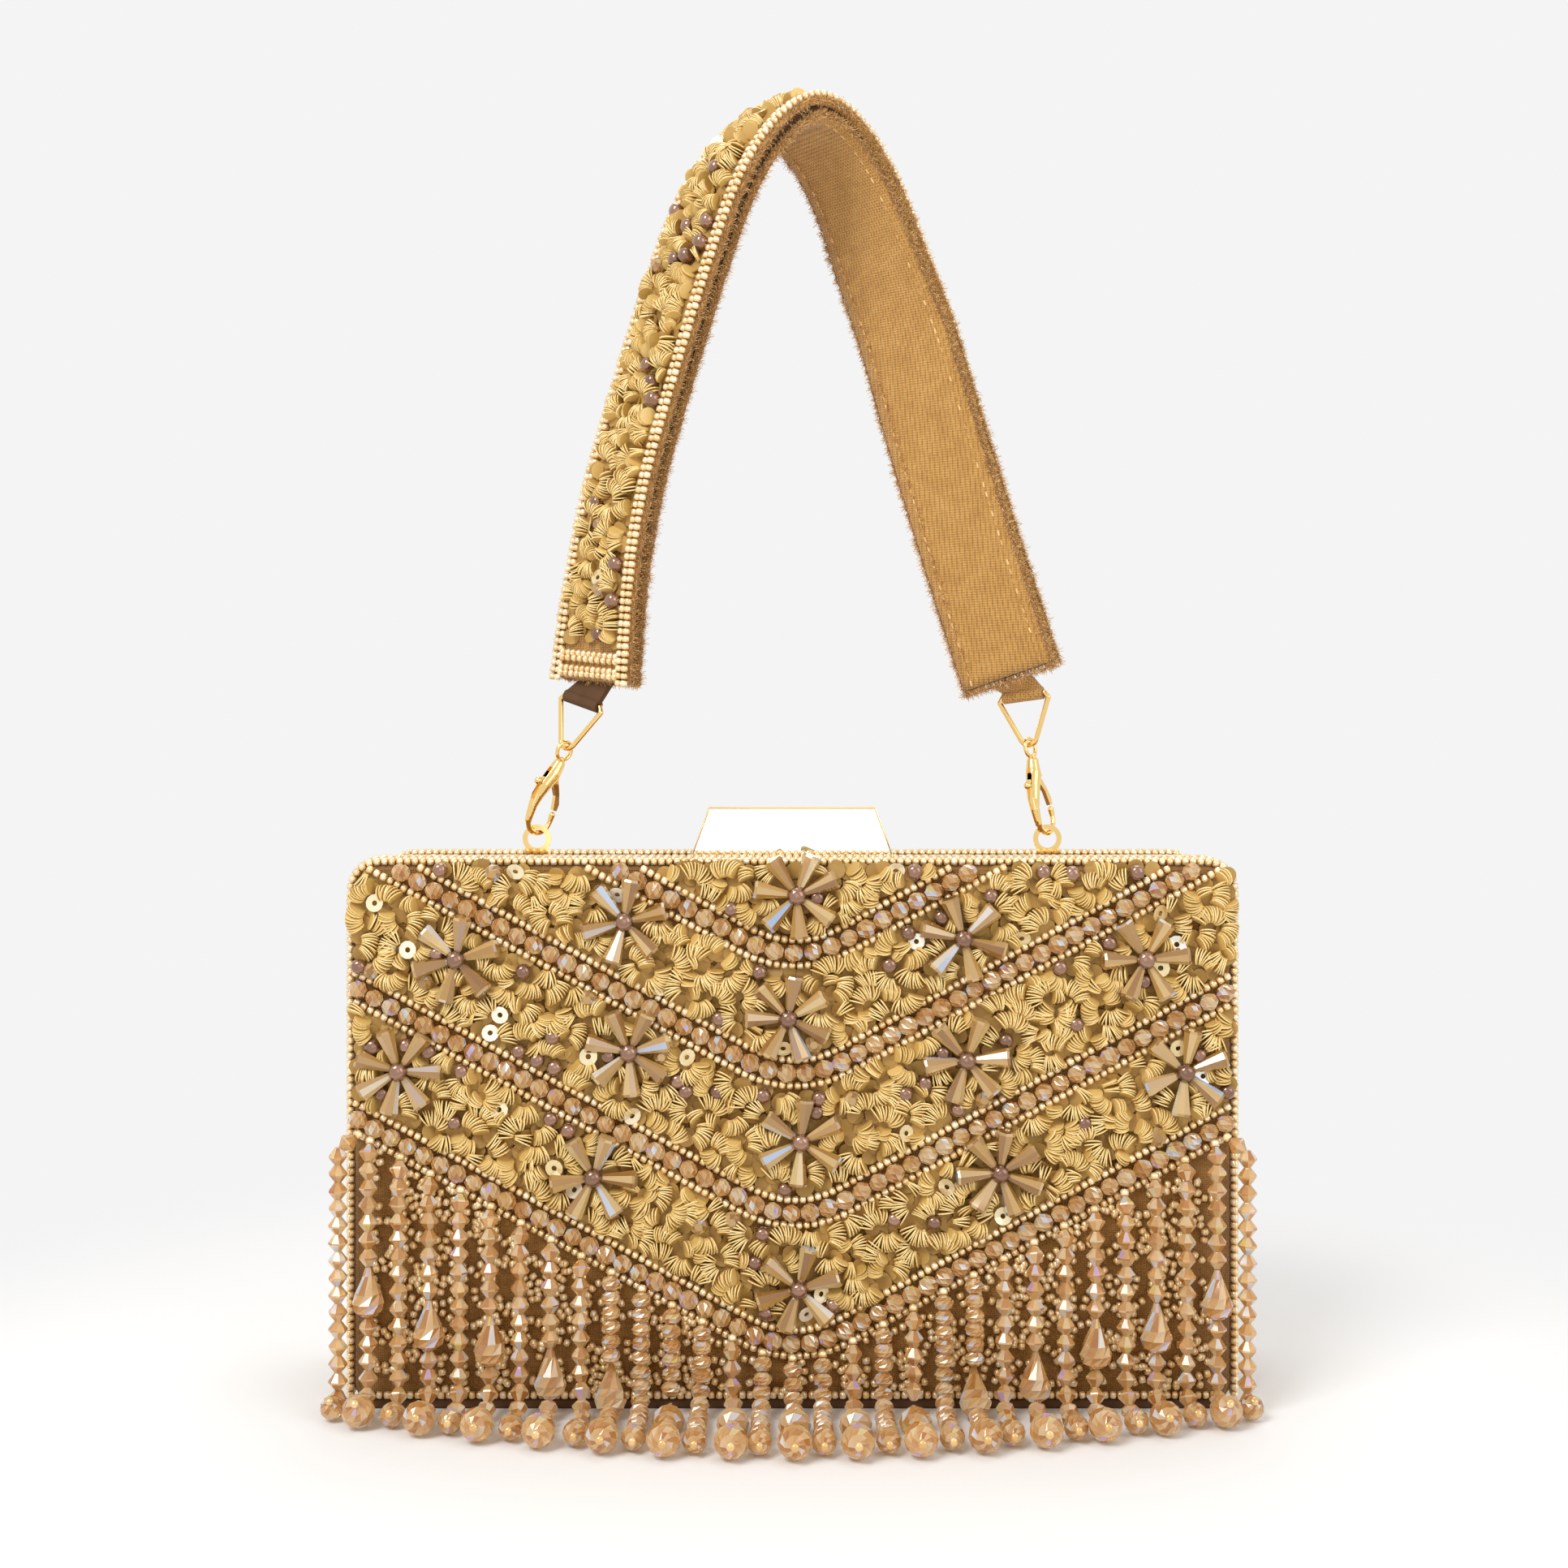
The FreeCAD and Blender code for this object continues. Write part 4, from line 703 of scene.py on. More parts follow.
def seed_row_piece(name, lines, body, seed):
    """Rows of gold seed beads along the lines."""
    return grow(name, line_mesh("rows", lines), LINE_TREE, body, "seed_beads", Bead=SEED_BEAD, Pitch=SEED,
                Seed=seed, Material=SEED_GOLD)


def line_mesh(name, lines):
    """A mesh of edges from lists of points."""
    verts, edges = [], []
    for line in lines:
        start = len(verts)
        verts.extend(line)
        edges.extend((start + k, start + k + 1) for k in range(len(line) - 1))
    return new_mesh(name, verts, edges=edges)


def point_mesh(name, points, **fields):
    """A mesh of loose vertices. Each extra name is stored on them, with its type, field and values."""
    mesh = new_mesh(name, points)
    for label, (kind, field, values) in fields.items():
        numbers = np.array(values, dtype=np.int32 if kind == "INT" else float).ravel()
        mesh.attributes.new(label, kind, "POINT").data.foreach_set(field, numbers)
    return mesh


def aimed_mesh(name, points, aims, sizes):
    """Loose vertices with an aim and a size on each."""
    return point_mesh(name, points, aim=("FLOAT_VECTOR", "vector", aims), size=("FLOAT", "value", sizes))


def placed_mesh(name, places, turns, shapes):
    """Loose vertices, each with a quaternion and the number of its shape."""
    return point_mesh(name, places, turn=("QUATERNION", "value", turns), shape=("INT", "value", shapes))


def facing(heading, normal):
    """The quaternion that turns Z to normal and X to heading."""
    x = (heading - normal * heading.dot(normal)).normalized()
    return tuple(Matrix((x, normal.cross(x), normal)).transposed().to_quaternion())


# %% [markdown]
# ## Chevron lines
# The front is drawn by four V-shaped bands with rounded points. Each band is a row of seed beads, a row of
# 4 mm crystals and another row of seed beads. One formula gives a line's height over x, and the rows are
# the same line moved up or down.

# %% Chevron lines
SLOPE, ROUND, APEX_X = 0.545, 12.0 * MM, 0.6 * MM
BAND_APEX = [106.6 * MM, 78.6 * MM, 46.0 * MM, 15.6 * MM]
ROW_OFFSET = 3.0 * MM


def chevron_z(x, apex):
    reach = abs(x - APEX_X)
    return apex + (SLOPE * (reach - ROUND / 2) if reach > ROUND else SLOPE * reach * reach / (2 * ROUND))


def on_front(x, z, margin):
    """True inside the front's outline, by at least margin, with its rounded upper corners."""
    side, up = BODY_HALF - abs(x), BODY_TOP - z
    if side < BODY_CORNER and up < BODY_CORNER:
        return math.hypot(BODY_CORNER - side, BODY_CORNER - up) < BODY_CORNER - margin
    return side > margin and up > margin


def chevron_line(apex, shift, y, margin=1.0 * MM):
    """Points of a line moved by shift square to itself, kept inside the body's outline."""
    found = []
    for x in np.arange(-BODY_HALF, BODY_HALF, 1.0 * MM):
        slope = (chevron_z(x + 1e-5, apex) - chevron_z(x - 1e-5, apex)) / 2e-5
        lean = math.hypot(1, slope)
        px, pz = x - shift * slope / lean, chevron_z(x, apex) + shift / lean
        if on_front(px, pz, margin):
            found.append((px, y, pz))
    return found


SEED_Y = FACE_Y - 1.1 * MM
CRYSTAL_Y = FACE_Y - 2.1 * MM
seed_lines, crystal_lines = [], []
for apex in BAND_APEX:
    for shift in (-ROW_OFFSET, ROW_OFFSET):
        seed_lines.append(chevron_line(apex, shift, SEED_Y))
    crystal_lines.append(chevron_line(apex, 0.0, CRYSTAL_Y, 1.9 * MM))
seed_row_piece("chevron_seed_rows", seed_lines, "front_half", 3)
chevron_crystals = grow("chevron_crystals", line_mesh("rows", crystal_lines), LINE_TREE, "front_half",
                        "crystal_beads", Bead=ROUND_CRYSTAL, Pitch=CRYSTAL, Seed=5, Material=PEACH)
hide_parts("chevron_band_1", "chevron_band_2", "chevron_band_3", "fringe_header")

# %% [markdown]
# ## Flowers
# Fourteen flowers lie in the sequin ground. Each has six or seven tapered tube crystals, narrow at the
# bronze pearl in the middle. They are set on points with a direction, so one shape makes them all.

# %% Flowers
FLOWERS = [(x * MM, z * MM) for x, z in (
    (1.0, 120.0), (-39.1, 114.0), (39.7, 110.0), (-1.0, 91.4), (-78.2, 105.2), (82.0, 105.2), (-38.0, 83.6),
    (40.4, 81.8), (1.9, 62.8), (-91.6, 79.3), (91.2, 79.0), (-46.3, 54.6), (48.2, 55.6), (1.4, 28.6))]
PETAL = bead("petal_crystal", [(0.75, 0), (0.95, 0.4), (2.3, 7.6), (2.0, 8.2)], 8)
petal_at, petal_aim, pearl_at, petal_lines = [], [], [], []
for n, (x, z) in enumerate(FLOWERS):
    count = 7 if n % 3 == 0 else 6
    start = RNG.uniform(0, 2 * math.pi)
    pearl_at.append((x, FACE_Y - 3.6 * MM, z))
    for k in range(count):
        angle = start + 2 * math.pi * k / count + RNG.normal(0, 0.06)
        aim = Vector((math.cos(angle), -0.10 + RNG.normal(0, 0.04), math.sin(angle))).normalized()
        petal_at.append(Vector((x, FACE_Y - 2.9 * MM, z)) + aim * 2.0 * MM)
        petal_aim.append(aim)
        petal_lines.append((x, z, math.cos(angle), math.sin(angle)))
petals = grow("flower_petals", aimed_mesh("petals", petal_at, petal_aim, [1.0] * len(petal_at)), POINT_TREE,
              "front_half", "flower_beads", Bead=PETAL, Seed=11, Material=SMOKE)
pearl_aims, pearl_sizes = [(0, -1, 0)] * len(pearl_at), [1.18] * len(pearl_at)
grow("flower_pearls", aimed_mesh("pearls", pearl_at, pearl_aims, pearl_sizes), POINT_TREE, "front_half",
     "sequins", Bead=PEARL_BEAD, Seed=12, Material=PEARL)
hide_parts("flowers")

# %% [markdown]
# ## The sequin ground
# Between the bands the ground is packed with little rolls of matte sequins, with bronze pearls, a few
# bright sequins and smoky beads among them, all lying side by side. Shapes thrown at random would sink into
# one another, so each roll is first laid out as a few circles in a row: a throw is kept only if its circles
# clear those already lying there. Long rolls go first and single beads last, to fill the gaps. A layer of
# flat sequins under them hides the silk.

# %% Packing a ground
# each kind: label, shape numbers, circle places along the roll in mm, circle radius in mm, tries per cm2
PIECE_KINDS = (
    ("sequins", (8, 7), (-2.0, 0.0, 2.0), 1.9, 26), ("sequins", (6, 9, 5), (-1.2, 1.2), 1.9, 60),
    ("pearls", (0,), (0.0,), 1.9, 12), ("loose", (0, 1), (0.0,), 1.9, 6), ("smoky", (0,), (0.0,), 2.0, 7),
    ("sequins", (4, 3, 2), (-0.8, 0.8), 1.8, 90), ("sequins", (1, 0), (0.0,), 1.7, 110))


GRID = 4 * MM
OVERLAP = 1.15 * MM                       # how far two circles may lie over one another


class Ground:
    """Circles lying in a plane, found quickly through a grid of cells."""

    def __init__(self, inside, u_range, v_range, seed):
        self.inside, self.cells = inside, {}
        self.random = np.random.default_rng(seed)
        self.ranges = u_range, v_range
        self.found = {"sequins": [], "pearls": [], "loose": [], "smoky": []}

    def clear(self, u, v, radius):
        ci, cj = int(u // GRID), int(v // GRID)
        for i in (ci - 1, ci, ci + 1):
            for j in (cj - 1, cj, cj + 1):
                for pu, pv, pr in self.cells.get((i, j), ()):
                    if (u - pu) ** 2 + (v - pv) ** 2 < (radius + pr - OVERLAP) ** 2:
                        return False
        return True

    def fill(self):
        (u0, u1), (v0, v1) = self.ranges
        area = (u1 - u0) * (v1 - v0) * 10000
        for label, shapes, along, radius, tries in PIECE_KINDS:
            for _ in range(int(tries * area)):
                u, v = self.random.uniform(u0, u1), self.random.uniform(v0, v1)
                angle = self.random.uniform(0, 2 * math.pi)
                du, dv = math.cos(angle), math.sin(angle)
                circles = [(u + a * MM * du, v + a * MM * dv, radius * MM) for a in along]
                if all(self.inside(cu, cv) and self.clear(cu, cv, r) for cu, cv, r in circles):
                    for cu, cv, r in circles:
                        self.cells.setdefault((int(cu // GRID), int(cv // GRID)), []).append((cu, cv, r))
                    self.found[label].append((u, v, du, dv, int(self.random.choice(shapes))))
        return self.found


GROUND_SHAPES = {"sequins": (collect("sequin_stacks", STACKS), SEQUIN, -0.2 * MM),
                 "loose": (collect("loose_sequins", LOOSE), SEQUIN_BRIGHT, 1.2 * MM),
                 "pearls": (collect("pearls", [PEARL_BEAD]), PEARL, 1.9 * MM),
                 "smoky": (collect("smoky_beads", [ROUND_CRYSTAL]), SMOKE, 1.8 * MM)}
UNDERLAY = collect("flat_sequins", [FLAT])


def lay_ground(name, found, place, body):
    """Grows one piece for each kind; place(u, v, du, dv) gives a point, a heading and the normal."""
    made = []
    for label, (shapes, material, height) in GROUND_SHAPES.items():
        spots = []
        for u, v, du, dv, shape in found[label]:
            point, heading, normal = place(u, v, du, dv)
            spots.append((point + normal * height, facing(heading, normal), shape))
        if spots:
            base = placed_mesh(name, *zip(*spots))
            made.append(grow(f"{name}_{label}", base, PLACED_TREE, body, "sequins", Shapes=shapes, Seed=3,
                             Material=material))
    return made


# %% The front's grounds
BAND_HALF = 3.8 * MM
CELL = 1.6 * MM                           # side of one square of the layer under the rolls


def near_flower(x, z):
    for fx, fz in FLOWERS:
        if (x - fx) ** 2 + (z - fz) ** 2 < (3.4 * MM) ** 2:
            return True
    for fx, fz, px, pz in petal_lines:
        along = min(max((x - fx) * px + (z - fz) * pz, 2 * MM), 9.2 * MM)
        if (x - fx - along * px) ** 2 + (z - fz - along * pz) ** 2 < ((1.35 + 0.16 * along / MM) * MM) ** 2:
            return True
    return False


def in_field(x, z, low_apex, high_apex, margin=1.5 * MM):
    """True where a field between two bands is, inside the front's outline."""
    lean = math.hypot(1, SLOPE)
    if not on_front(x, z, margin) or z < chevron_z(x, low_apex) + (BAND_HALF + margin - 0.6 * MM) * lean:
        return False
    return not high_apex or z < chevron_z(x, high_apex) - (BAND_HALF + margin - 0.6 * MM) * lean


def underlay_mesh(name, low_apex, high_apex):
    verts, faces = [], []
    for x in np.arange(-BODY_HALF, BODY_HALF, CELL):
        for z in np.arange(0, BODY_TOP, CELL):
            if in_field(x + CELL / 2, z + CELL / 2, low_apex, high_apex, 1.0 * MM):
                start = len(verts)
                corners = ((0, 0), (CELL, 0), (CELL, CELL), (0, CELL))
                verts += [(x + sideways, FACE_Y, z + up) for sideways, up in corners]
                faces.append((start, start + 1, start + 2, start + 3))
    return new_mesh(name, verts, faces)


def on_face(u, v, du, dv):
    return Vector((u, FACE_Y - 0.2 * MM, v)), Vector((du, 0, dv)), Vector((0, -1, 0))


highs = [None] + BAND_APEX[:-1]
for field, (low, high) in enumerate(zip(BAND_APEX, highs), start=1):
    ground = Ground(lambda x, z: in_field(x, z, low, high) and not near_flower(x, z),
                    (-BODY_HALF, BODY_HALF), (low, BODY_TOP), 40 + field)
    pieces = lay_ground(f"field_{field}", ground.fill(), on_face, "front_half")
    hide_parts(f"sequin_field_{field}")
    grow(f"field_{field}_underlay", underlay_mesh(f"ground_{field}", low, high), SCATTER_TREE, "front_half",
         "sequins", Shapes=UNDERLAY, Spacing=2.3 * MM, Seed=field, Sink=0.1 * MM, Material=SEQUIN_PAINTED_SHADE)

# %% [markdown]
# ## Edge rows and squiggles
# Rows of seed beads run round the outer edge of both halves, over the top and down the sides. Below the
# lowest chevron the silk shows, and short curved strings of seed beads are sewn over it at random, which
# embroiderers call vermicelli. The back has a few of them too, further apart.


# %% Edge rows
def edge_line(y, out, low):
    """Round the body from the left foot over the top to the right foot, out from the cover."""
    half, top, corner = BODY_HALF + out, BODY_TOP + out, BODY_CORNER + out
    points = [(-half, y, z) for z in np.linspace(low, top - corner, 50)]
    points += [(-half + corner - corner * math.cos(a), y, top - corner + corner * math.sin(a))
               for a in np.linspace(0, math.pi / 2, 9)[1:]]
    points += [(x, y, top) for x in np.linspace(-half + corner, half - corner, 80)[1:]]
    mirror = [(-x, yy, z) for x, yy, z in points[:59]][::-1]
    return points + mirror[1:]


def bottom_row(y):
    return [(x, y, 3.4 * MM) for x in np.linspace(-BODY_HALF + 5 * MM, BODY_HALF - 5 * MM, 60)]


# each row: how far behind the outer face in mm, how far out from the cover in mm
EDGE_ROWS = ((0.7, 0.35), (2.5, 0.8), (4.3, 0.8), (6.1, 0.8), (7.9, 0.8))
front_edge = [edge_line(FACE_Y + d * MM, o * MM, 3.0 * MM) for d, o in EDGE_ROWS]
rear_edge = [edge_line(BACK_Y - d * MM, o * MM, 3.0 * MM) for d, o in ((-0.6, -1.4), *EDGE_ROWS)]
front_rows = seed_row_piece("front_edge_rows", front_edge + [bottom_row(FACE_Y - 0.9 * MM)], "front_half", 21)
rear_rows = seed_row_piece("rear_edge_rows", rear_edge + [bottom_row(BACK_Y + 0.9 * MM)], "rear_half", 22)
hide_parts("front_edge_beading")
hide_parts("rear_edge_beading")


# %% Painted shadow under the base
def painted_shadow_strip(name, y, z_low, z_high, body):
    """A dark strip of the darkened velvet that wraps a half's lower edge, with rounded long edges: painted
    shadow under the base.
    """
    half, out, rows = BODY_HALF - 4 * MM, 0.7 * MM * (1 if y > 0 else -1), 60
    section = [(y - 2 * out, z_low), (y + 0.3 * out, z_low), (y + out, z_low + 0.6 * MM),
               (y + out, z_high - 0.6 * MM), (y + 0.3 * out, z_high), (y - 2 * out, z_high)]
    verts = [(x, a, b) for x in np.linspace(-half, half, rows) for a, b in section]
    mesh = new_mesh(name, verts, ring_faces(rows, len(section)))
    edit = bmesh.new()
    edit.from_mesh(mesh)
    bmesh.ops.recalc_face_normals(edit, faces=edit.faces)
    edit.to_mesh(mesh)
    edit.free()
    mesh.materials.append(VELVET_PAINTED_SHADE)
    return keep(name, mesh, body)


# Painted shadow: dark strips along the lower edges of both halves stand for the shade under the bag.
painted_shadow_strip("front_binding", FACE_Y, COVER_LOW.z, COVER_LOW.z + 2.6 * MM, "front_half")
painted_shadow_strip("rear_binding", BACK_Y, REAR_LOW.z, REAR_LOW.z + 2.6 * MM, "rear_half")
print("lower edges", round(COVER_LOW.z, 5), round(REAR_LOW.z, 5))


# %% Vermicelli on the silk
def squiggles(allowed, spacing, y, seed):
    """Short wavy strings on a jittered grid, each turning one way and then back."""
    random = np.random.default_rng(seed)
    lines = []
    for gx in np.arange(-BODY_HALF + 6 * MM, BODY_HALF - 5 * MM, spacing):
        for gz in np.arange(6 * MM, BODY_TOP - 6 * MM, spacing):
            x, z = gx + random.normal(0, 0.9 * MM), gz + random.normal(0, 0.9 * MM)
            heading, bend = random.uniform(0, 2 * math.pi), random.choice((-1, 1)) * random.uniform(0.25, 0.5)
            line = []
            for step in range(7):
                if allowed(x, z):
                    line.append((x, y, z))
                heading += bend if step < 4 else -bend
                x, z = x + 1.3 * MM * math.cos(heading), z + 1.3 * MM * math.sin(heading)
            if len(line) > 2:
                lines.append(line)
    return lines


def below_fringe_line(x, z):
    return abs(x) < BODY_HALF - 4 * MM and 4 * MM < z < chevron_z(x, BAND_APEX[-1]) - BAND_HALF * 1.2


def on_back(x, z):
    return abs(x) < BODY_HALF - 6 * MM and 6 * MM < z < BODY_TOP - 6 * MM


seed_row_piece("rear_vermicelli", squiggles(on_back, 10.5 * MM, BACK_Y + 0.75 * MM, 6), "rear_half", 24)
seed_row_piece("front_vermicelli", squiggles(below_fringe_line, 4.8 * MM, FACE_Y - 0.75 * MM, 5),
               "front_half", 23)

# %% [markdown]
# ## The fringe
# Thirty-one strands hang from the lowest chevron. Each is a thread with 4 mm crystals, a drop on every
# other strand, and a larger ball at its end. The strands are longer than the bag is high there, so their
# ends bend forward and lie on the surface. A strand's path is worked out first, and the beads are set
# along it.

# %% Fringe
STRAND_COUNT, STRAND_PITCH = 31, 7.0 * MM
STRAND_Y = -29.6 * MM
LIE_Z = 2.35 * MM
DROP_LENGTH = 11.6 * MM
DROP = bead("drop_crystal", [(0.6, -5.6), (1.3, -3.6), (3.0, 0.4), (3.75, 2.6), (3.2, 4.6), (1.6, 5.7)], 10,
            twist=0.5)
BALL = lathe("end_ball", [(0.25, -0.96), (0.6, -0.8), (0.88, -0.45), (0.99, 0.0), (0.88, 0.45), (0.6, 0.8),
                          (0.25, 0.96)], 12, twist=0.5)
BENDS = 9
POINTED = set(range(9)) | set(range(22, 31)) | {13, 17, 19}      # strands threaded with pointed crystals


def strand_path(i):
    """Points of one strand from the header down to the end ball's middle."""
    x = (i - (STRAND_COUNT - 1) / 2) * STRAND_PITCH
    ball = 3.85 * MM if i % 2 else 2.85 * MM
    half_span = STRAND_PITCH * (STRAND_COUNT - 1) / 2
    reach = (3.5 + 22.0 * math.sin((1 - abs(x) / half_span) * math.pi / 2) + (3.0 if i % 2 else 0.0)) * MM
    tie_x = max(-GROUND_HALF + 0.9 * MM, min(GROUND_HALF - 0.9 * MM, x))
    top = chevron_z(tie_x, BAND_APEX[-1]) - 4.3 * MM
    random = np.random.default_rng(100 + i)
    drift = random.normal(0, 0.35 * MM)
    bend = min(8 * MM, reach * 0.75, top * 0.6)
    path = [Vector((tie_x, FACE_Y - 3.75 * MM, top + 1.5 * MM)), Vector((x, STRAND_Y, top - 2.0 * MM))]
    path.append(Vector((x, STRAND_Y, LIE_Z + bend)))
    for k in range(1, BENDS + 1):
        angle = math.pi / 2 * k / BENDS
        forward, up = bend * (1 - math.cos(angle)), bend * (1 - math.sin(angle))
        path.append(Vector((x + drift * k / BENDS, STRAND_Y - forward, LIE_Z + up)))
    path.append(Vector((x + drift, STRAND_Y - reach, ball + 0.35 * MM)))
    return path, ball


def walk(path):
    """Arc length at each point and a function that gives the place and direction at a distance."""
    lengths = [0.0]
    for a, b in zip(path, path[1:]):
        lengths.append(lengths[-1] + (b - a).length)

    def at(distance):
        k = min(max(np.searchsorted(lengths, distance) - 1, 0), len(path) - 2)
        share = (distance - lengths[k]) / max(lengths[k + 1] - lengths[k], 1e-9)
        return path[k].lerp(path[k + 1], share), (path[k + 1] - path[k]).normalized()
    return lengths[-1], at


def fringe_beads(numbers):
    """Places for the crystals, drops, balls and seed beads of the strands in one group."""
    places = {"crystals": [], "rondelles": [], "drops": [], "balls": [], "seeds": []}
    for i in numbers:
        path, ball = strand_path(i)
        total, at = walk(path)
        end = total - ball * 0.9
        distance = 1.0 * MM
        drop_at = 0.42 * end if i % 2 and end > 30 * MM else None
        places["seeds"].append((*at(0.0), 1.1))
        while distance < end - 1.5 * MM:
            if drop_at and distance > drop_at:
                places["drops"].append((*at(distance + DROP_LENGTH / 2), 1.0))
                distance += DROP_LENGTH + 0.4 * MM
                drop_at = None
                continue
            label, pitch = ("crystals", 4.0 * MM) if i in POINTED else ("rondelles", 3.3 * MM)
            place, aim = at(distance + pitch / 2)
            places[label].append((place, aim, 1.0))
            distance += pitch
        place, aim = at(total)
        places["balls"].append((place, aim, ball))
        places["seeds"].append((place + aim * (ball + 0.4 * MM), aim, 1.0))
    return places


FRINGE_SHAPES = {"crystals": (BICONE, PEACH, "fringe_beads"), "rondelles": (RONDELLE, PEACH, "fringe_beads"),
                 "drops": (DROP, PEACH, "fringe_beads"), "balls": (BALL, PEACH, "fringe_beads"),
                 "seeds": (SEED_BEAD, SEED_GOLD, "seed_beads")}
groups = {"fringe_middle": [15]}
for n in range(0, 15, 3):
    groups[f"fringe_left_{n // 3 + 1}"] = list(range(n, n + 3))
    groups[f"fringe_right_{n // 3 + 1}"] = [30 - k for k in range(n, n + 3)]
for node, numbers in groups.items():
    for label, beads in fringe_beads(numbers).items():
        if beads:
            shape, material, slot = FRINGE_SHAPES[label]
            piece = grow(f"{node}_{label}", aimed_mesh(node, *zip(*beads)), POINT_TREE, node + "_strands",
                         slot, Bead=shape, Seed=60, Material=material)
            if label == "balls":
                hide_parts(node)

# %% [markdown]
# ## The strap
# The strap is a flat band that stands in an arch and turns as it goes: its beaded face looks out on the
# left, and its velvet side shows on the right. The route gives the middle of the band and the direction of
# its width. A smooth curve through those places carries a cross-section, and the beads follow its edges.

# %% Strap route
STRAP_ROUTE = (
    ((-48.4, 0.4, 171.5), (0.80, -0.58)), ((-44.9, -1.0, 199.6), (0.72, -0.69)),
    ((-40.8, -2.6, 219.8), (0.69, -0.72)), ((-35.0, -4.4, 239.9), (0.68, -0.73)),
    ((-28.6, -6.2, 260.1), (0.67, -0.74)), ((-21.6, -7.4, 280.3), (0.66, -0.75)),
    ((-12.6, -6.4, 298.4), (0.64, -0.77)), ((0.8, -0.6, 309.2), (0.64, -0.77)),
    ((13.2, 6.2, 298.4), (0.70, -0.71)), ((20.8, 8.0, 280.3), (0.76, -0.65)),
    ((28.0, 7.0, 260.1), (0.82, -0.57)), ((33.8, 5.4, 239.9), (0.86, -0.51)),
    ((39.6, 3.8, 219.8), (0.88, -0.48)), ((45.6, 2.0, 199.6), (0.88, -0.48)),
    ((54.4, 0.4, 171.5), (0.90, -0.44)))
STRAP_WIDTH = 26.0 * MM
LINING_OUT = -2.9 * MM        # outside of the velvet, from the middle line
STRAP_TOP = 2.5 * MM          # outside of the beads' cloth


def smooth_through(values, count):
    """A natural cubic spline through evenly numbered values, by chord length, at count even places."""
    values = np.array(values, dtype=float)
    chord = np.concatenate([[0], np.cumsum(np.linalg.norm(np.diff(values[:, :3], axis=0), axis=1))])
    n = len(values)
    step = np.diff(chord)
    matrix, right = np.eye(n), np.zeros_like(values)
    for k in range(1, n - 1):
        matrix[k, k - 1:k + 2] = step[k - 1], 2 * (step[k - 1] + step[k]), step[k]
        right[k] = 6 * ((values[k + 1] - values[k]) / step[k] - (values[k] - values[k - 1]) / step[k - 1])
    bend = np.linalg.solve(matrix, right)
    found = []
    for s in np.linspace(0, chord[-1], count):
        k = min(max(np.searchsorted(chord, s) - 1, 0), n - 2)
        a, b, h = chord[k + 1] - s, s - chord[k], step[k]
        found.append(bend[k] * a ** 3 / (6 * h) + bend[k + 1] * b ** 3 / (6 * h)
                     + (values[k] / h - bend[k] * h / 6) * a + (values[k + 1] / h - bend[k + 1] * h / 6) * b)
    return np.array(found)


STATIONS = 240
route = smooth_through([(*p, *w) for p, w in STRAP_ROUTE], STATIONS)
middle = route[:, :3] * MM
along = np.gradient(middle, axis=0)
along /= np.linalg.norm(along, axis=1)[:, None]
across = np.column_stack([route[:, 3:5], np.zeros(STATIONS)])
across -= along * np.sum(across * along, axis=1)[:, None]
across /= np.linalg.norm(across, axis=1)[:, None]
outward = np.cross(across, along)
strap_length = float(np.sum(np.linalg.norm(np.diff(middle, axis=0), axis=1)))
print("strap length", round(strap_length, 4))


def strap_point(station, sideways, out):
    return middle[station] + across[station] * sideways + outward[station] * out


# %% Strap bands
def strap_band(name, section, material=VELVET):
    """A closed band from a cross-section given as (sideways, out) pairs, carried along the route."""
    verts = [strap_point(station, a, b) for station in range(0, STATIONS, 2) for a, b in section]
    mesh = new_mesh(name, verts, ring_faces(len(verts) // len(section), len(section)))
    for polygon in mesh.polygons:
        polygon.use_smooth = True
    mesh.materials.append(material)
    return keep(name, mesh, "strap")


def pillow_section(half, low, high, edge):
    """A flat band with rounded edges."""
    middle_out = (low + high) / 2
    over = np.linspace(-half + edge, half - edge, 9)
    underside, top = [(a, low) for a in over], [(a, high) for a in over[::-1]]
    return underside + [(half, middle_out)] + top + [(-half, middle_out)]


HALF = STRAP_WIDTH / 2
face_band = strap_band("strap_ground", pillow_section(HALF - 0.2 * MM, 0.7 * MM, STRAP_TOP, 0.7 * MM))
lining_band = strap_band("strap_velvet", pillow_section(HALF - 0.7 * MM, LINING_OUT, -1.2 * MM, 0.7 * MM))
# Painted shadow: a dark band fills the gap between the velvet and the beads' cloth, where there is only
# shadow.
painted_shadow_band = strap_band("strap_seam", pillow_section(HALF - 2.0 * MM, -1.25 * MM, 0.8 * MM, 0.2 * MM),
                        VELVET_PAINTED_SHADE)
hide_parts("strap_face")
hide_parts("strap_lining")
# The lining and the cloth under the strap's beads are cut to the strap's width and its length along the arch.
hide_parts("strap_core")

# %% Strap beadwork
edge_rows = [[strap_point(s, side * (HALF - inset), 3.2 * MM) for s in range(0, STATIONS, 2)]
             for side in (-1, 1) for inset in (1.2 * MM, 3.0 * MM)]
end_rows = [[strap_point(s, a, 3.2 * MM) for a in np.linspace(-HALF + 4 * MM, HALF - 4 * MM, 12)]
            for s in (1, 2, 4, 5, STATIONS - 6, STATIONS - 5, STATIONS - 3, STATIONS - 2)]
seed_row_piece("strap_seed_rows", edge_rows + end_rows, "strap", 31)

# %% [markdown]
# ## Velvet's furred edge
# Velvet that is folded and stitched near its edge throws its pile outwards, so the edge looks furred. Small
# tufts of six blades along each edge give that outline, and short pale stitches lie just inside it.

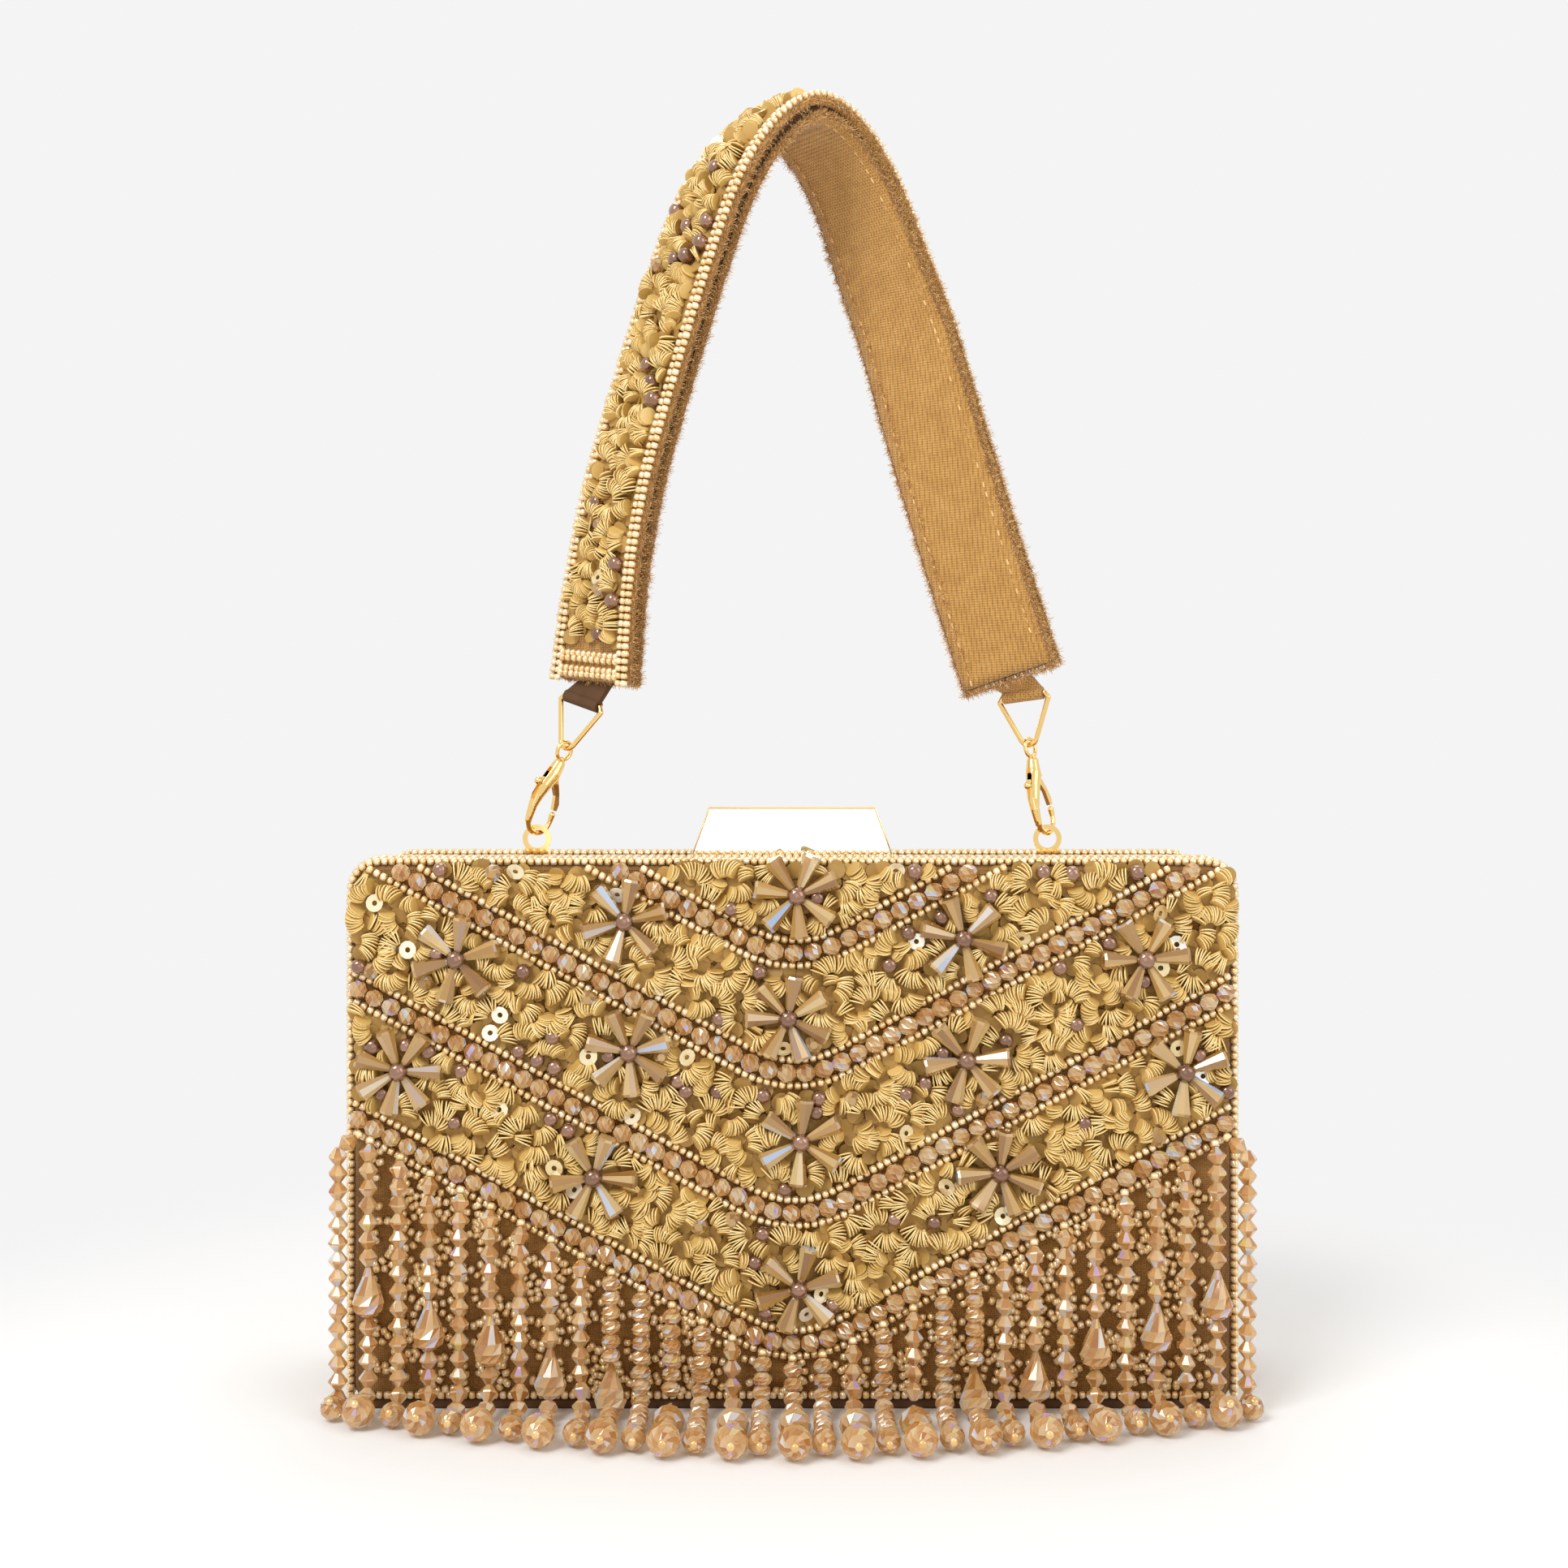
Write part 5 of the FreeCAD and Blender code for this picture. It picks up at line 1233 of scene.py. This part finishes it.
# %% Velvet pile and stitches
def tuft(name, blades, height, seed):
    """A few thin blades that stand out round a row's line."""
    random = np.random.default_rng(seed)
    verts, faces = [], []
    for _ in range(blades):
        angle, spread = random.uniform(0, 2 * math.pi), random.uniform(0.3, 1.0)
        out = Vector((math.cos(angle), math.sin(angle), random.normal(0, 0.45)))
        side = out.cross(Vector((0, 0, 1))).normalized() * 0.15 * MM
        tip = out * height * spread
        start = len(verts)
        verts += [side, -side, tip, tip + Vector((0, 0, 0.08 * MM))]
        faces += [(start, start + 1, start + 2), (start + 1, start, start + 3), (start, start + 2, start + 3),
                  (start + 1, start + 3, start + 2)]
    return bpy.data.objects.new(name, new_mesh(name, verts, faces))


# each row of tufts: how far in from the edge in mm, how far out from the middle line in mm
PILE_ROWS = ((0.9, -2.6), (0.6, -2.0), (0.9, -1.4), (0.3, 1.2), (0.3, 2.0))
pile_lines = [[strap_point(s, side * (HALF - inset * MM), out * MM) for s in range(STATIONS)]
              for side in (-1, 1) for inset, out in PILE_ROWS]
pile_lines += [[strap_point(s, -HALF + 3.9 * MM, LINING_OUT + 0.2 * MM) for s in range(4, STATIONS - 4)]]
pile_lines += [[strap_point(s, a, out * MM) for a in np.linspace(-HALF + 1 * MM, HALF - 1 * MM, 12)]
               for s in (0, STATIONS - 1) for out in (-2.5, -1.6, 1.4)]
grow("strap_pile", line_mesh("lines", pile_lines), LINE_TREE, "strap", "velvet",
     Bead=tuft("tuft", 6, 1.45 * MM, 9), Pitch=0.5 * MM, Seed=33, Material=PILE, **{"Size Jitter": 0.35})
STITCH = bead("stitch", [(0.12, -0.7), (0.24, -0.45), (0.24, 0.45), (0.12, 0.7)], 6)
stitch_lines = [[strap_point(s, side * (HALF - 3.6 * MM), LINING_OUT - 0.02 * MM)
                 for s in range(2, STATIONS - 2)] for side in (-1, 1)]
grow("strap_stitches", line_mesh("lines", stitch_lines), LINE_TREE, "strap", "velvet", Bead=STITCH,
     Pitch=2.5 * MM, Seed=34, Material=PILE)


def strap_place(u, v, du, dv):
    """The point, heading and normal on the beaded side at u along the strap and v across it."""
    station = min(max(u / strap_length * (STATIONS - 1), 0), STATIONS - 1.001)
    k, share = int(station), station - int(station)
    point = strap_point(k, v, STRAP_TOP) * (1 - share) + strap_point(k + 1, v, STRAP_TOP) * share
    return Vector(point), Vector(along[k] * du + across[k] * dv), Vector(outward[k])


def strap_underlay():
    """Faces over the middle of the beaded side, facing out."""
    verts, faces = [], []
    stations, columns = range(8, STATIONS - 8, 2), np.linspace(-HALF + 4.6 * MM, HALF - 4.6 * MM, 7)
    for s in stations:
        verts.extend(strap_point(s, a, STRAP_TOP) for a in columns)
    for r in range(len(stations) - 1):
        for k in range(len(columns) - 1):
            a = r * len(columns) + k
            faces.append((a, a + 1, a + 1 + len(columns), a + len(columns)))
    mesh = new_mesh("strap_underlay", verts, faces)
    if mesh.polygons[0].normal.dot(Vector(outward[8])) < 0:
        mesh.flip_normals()
    return mesh


# %% The strap's ground
strap_ground = Ground(lambda u, v: abs(v) < HALF - 5.2 * MM and 11 * MM < u < strap_length - 11 * MM,
                      (0, strap_length), (-HALF, HALF), 77)
lay_ground("strap", strap_ground.fill(), strap_place, "strap")
grow("strap_sequin_underlay", strap_underlay(), SCATTER_TREE, "strap", "sequins", Shapes=UNDERLAY,
     Spacing=2.3 * MM, Seed=9, Sink=0.1 * MM, Material=SEQUIN_PAINTED_SHADE)
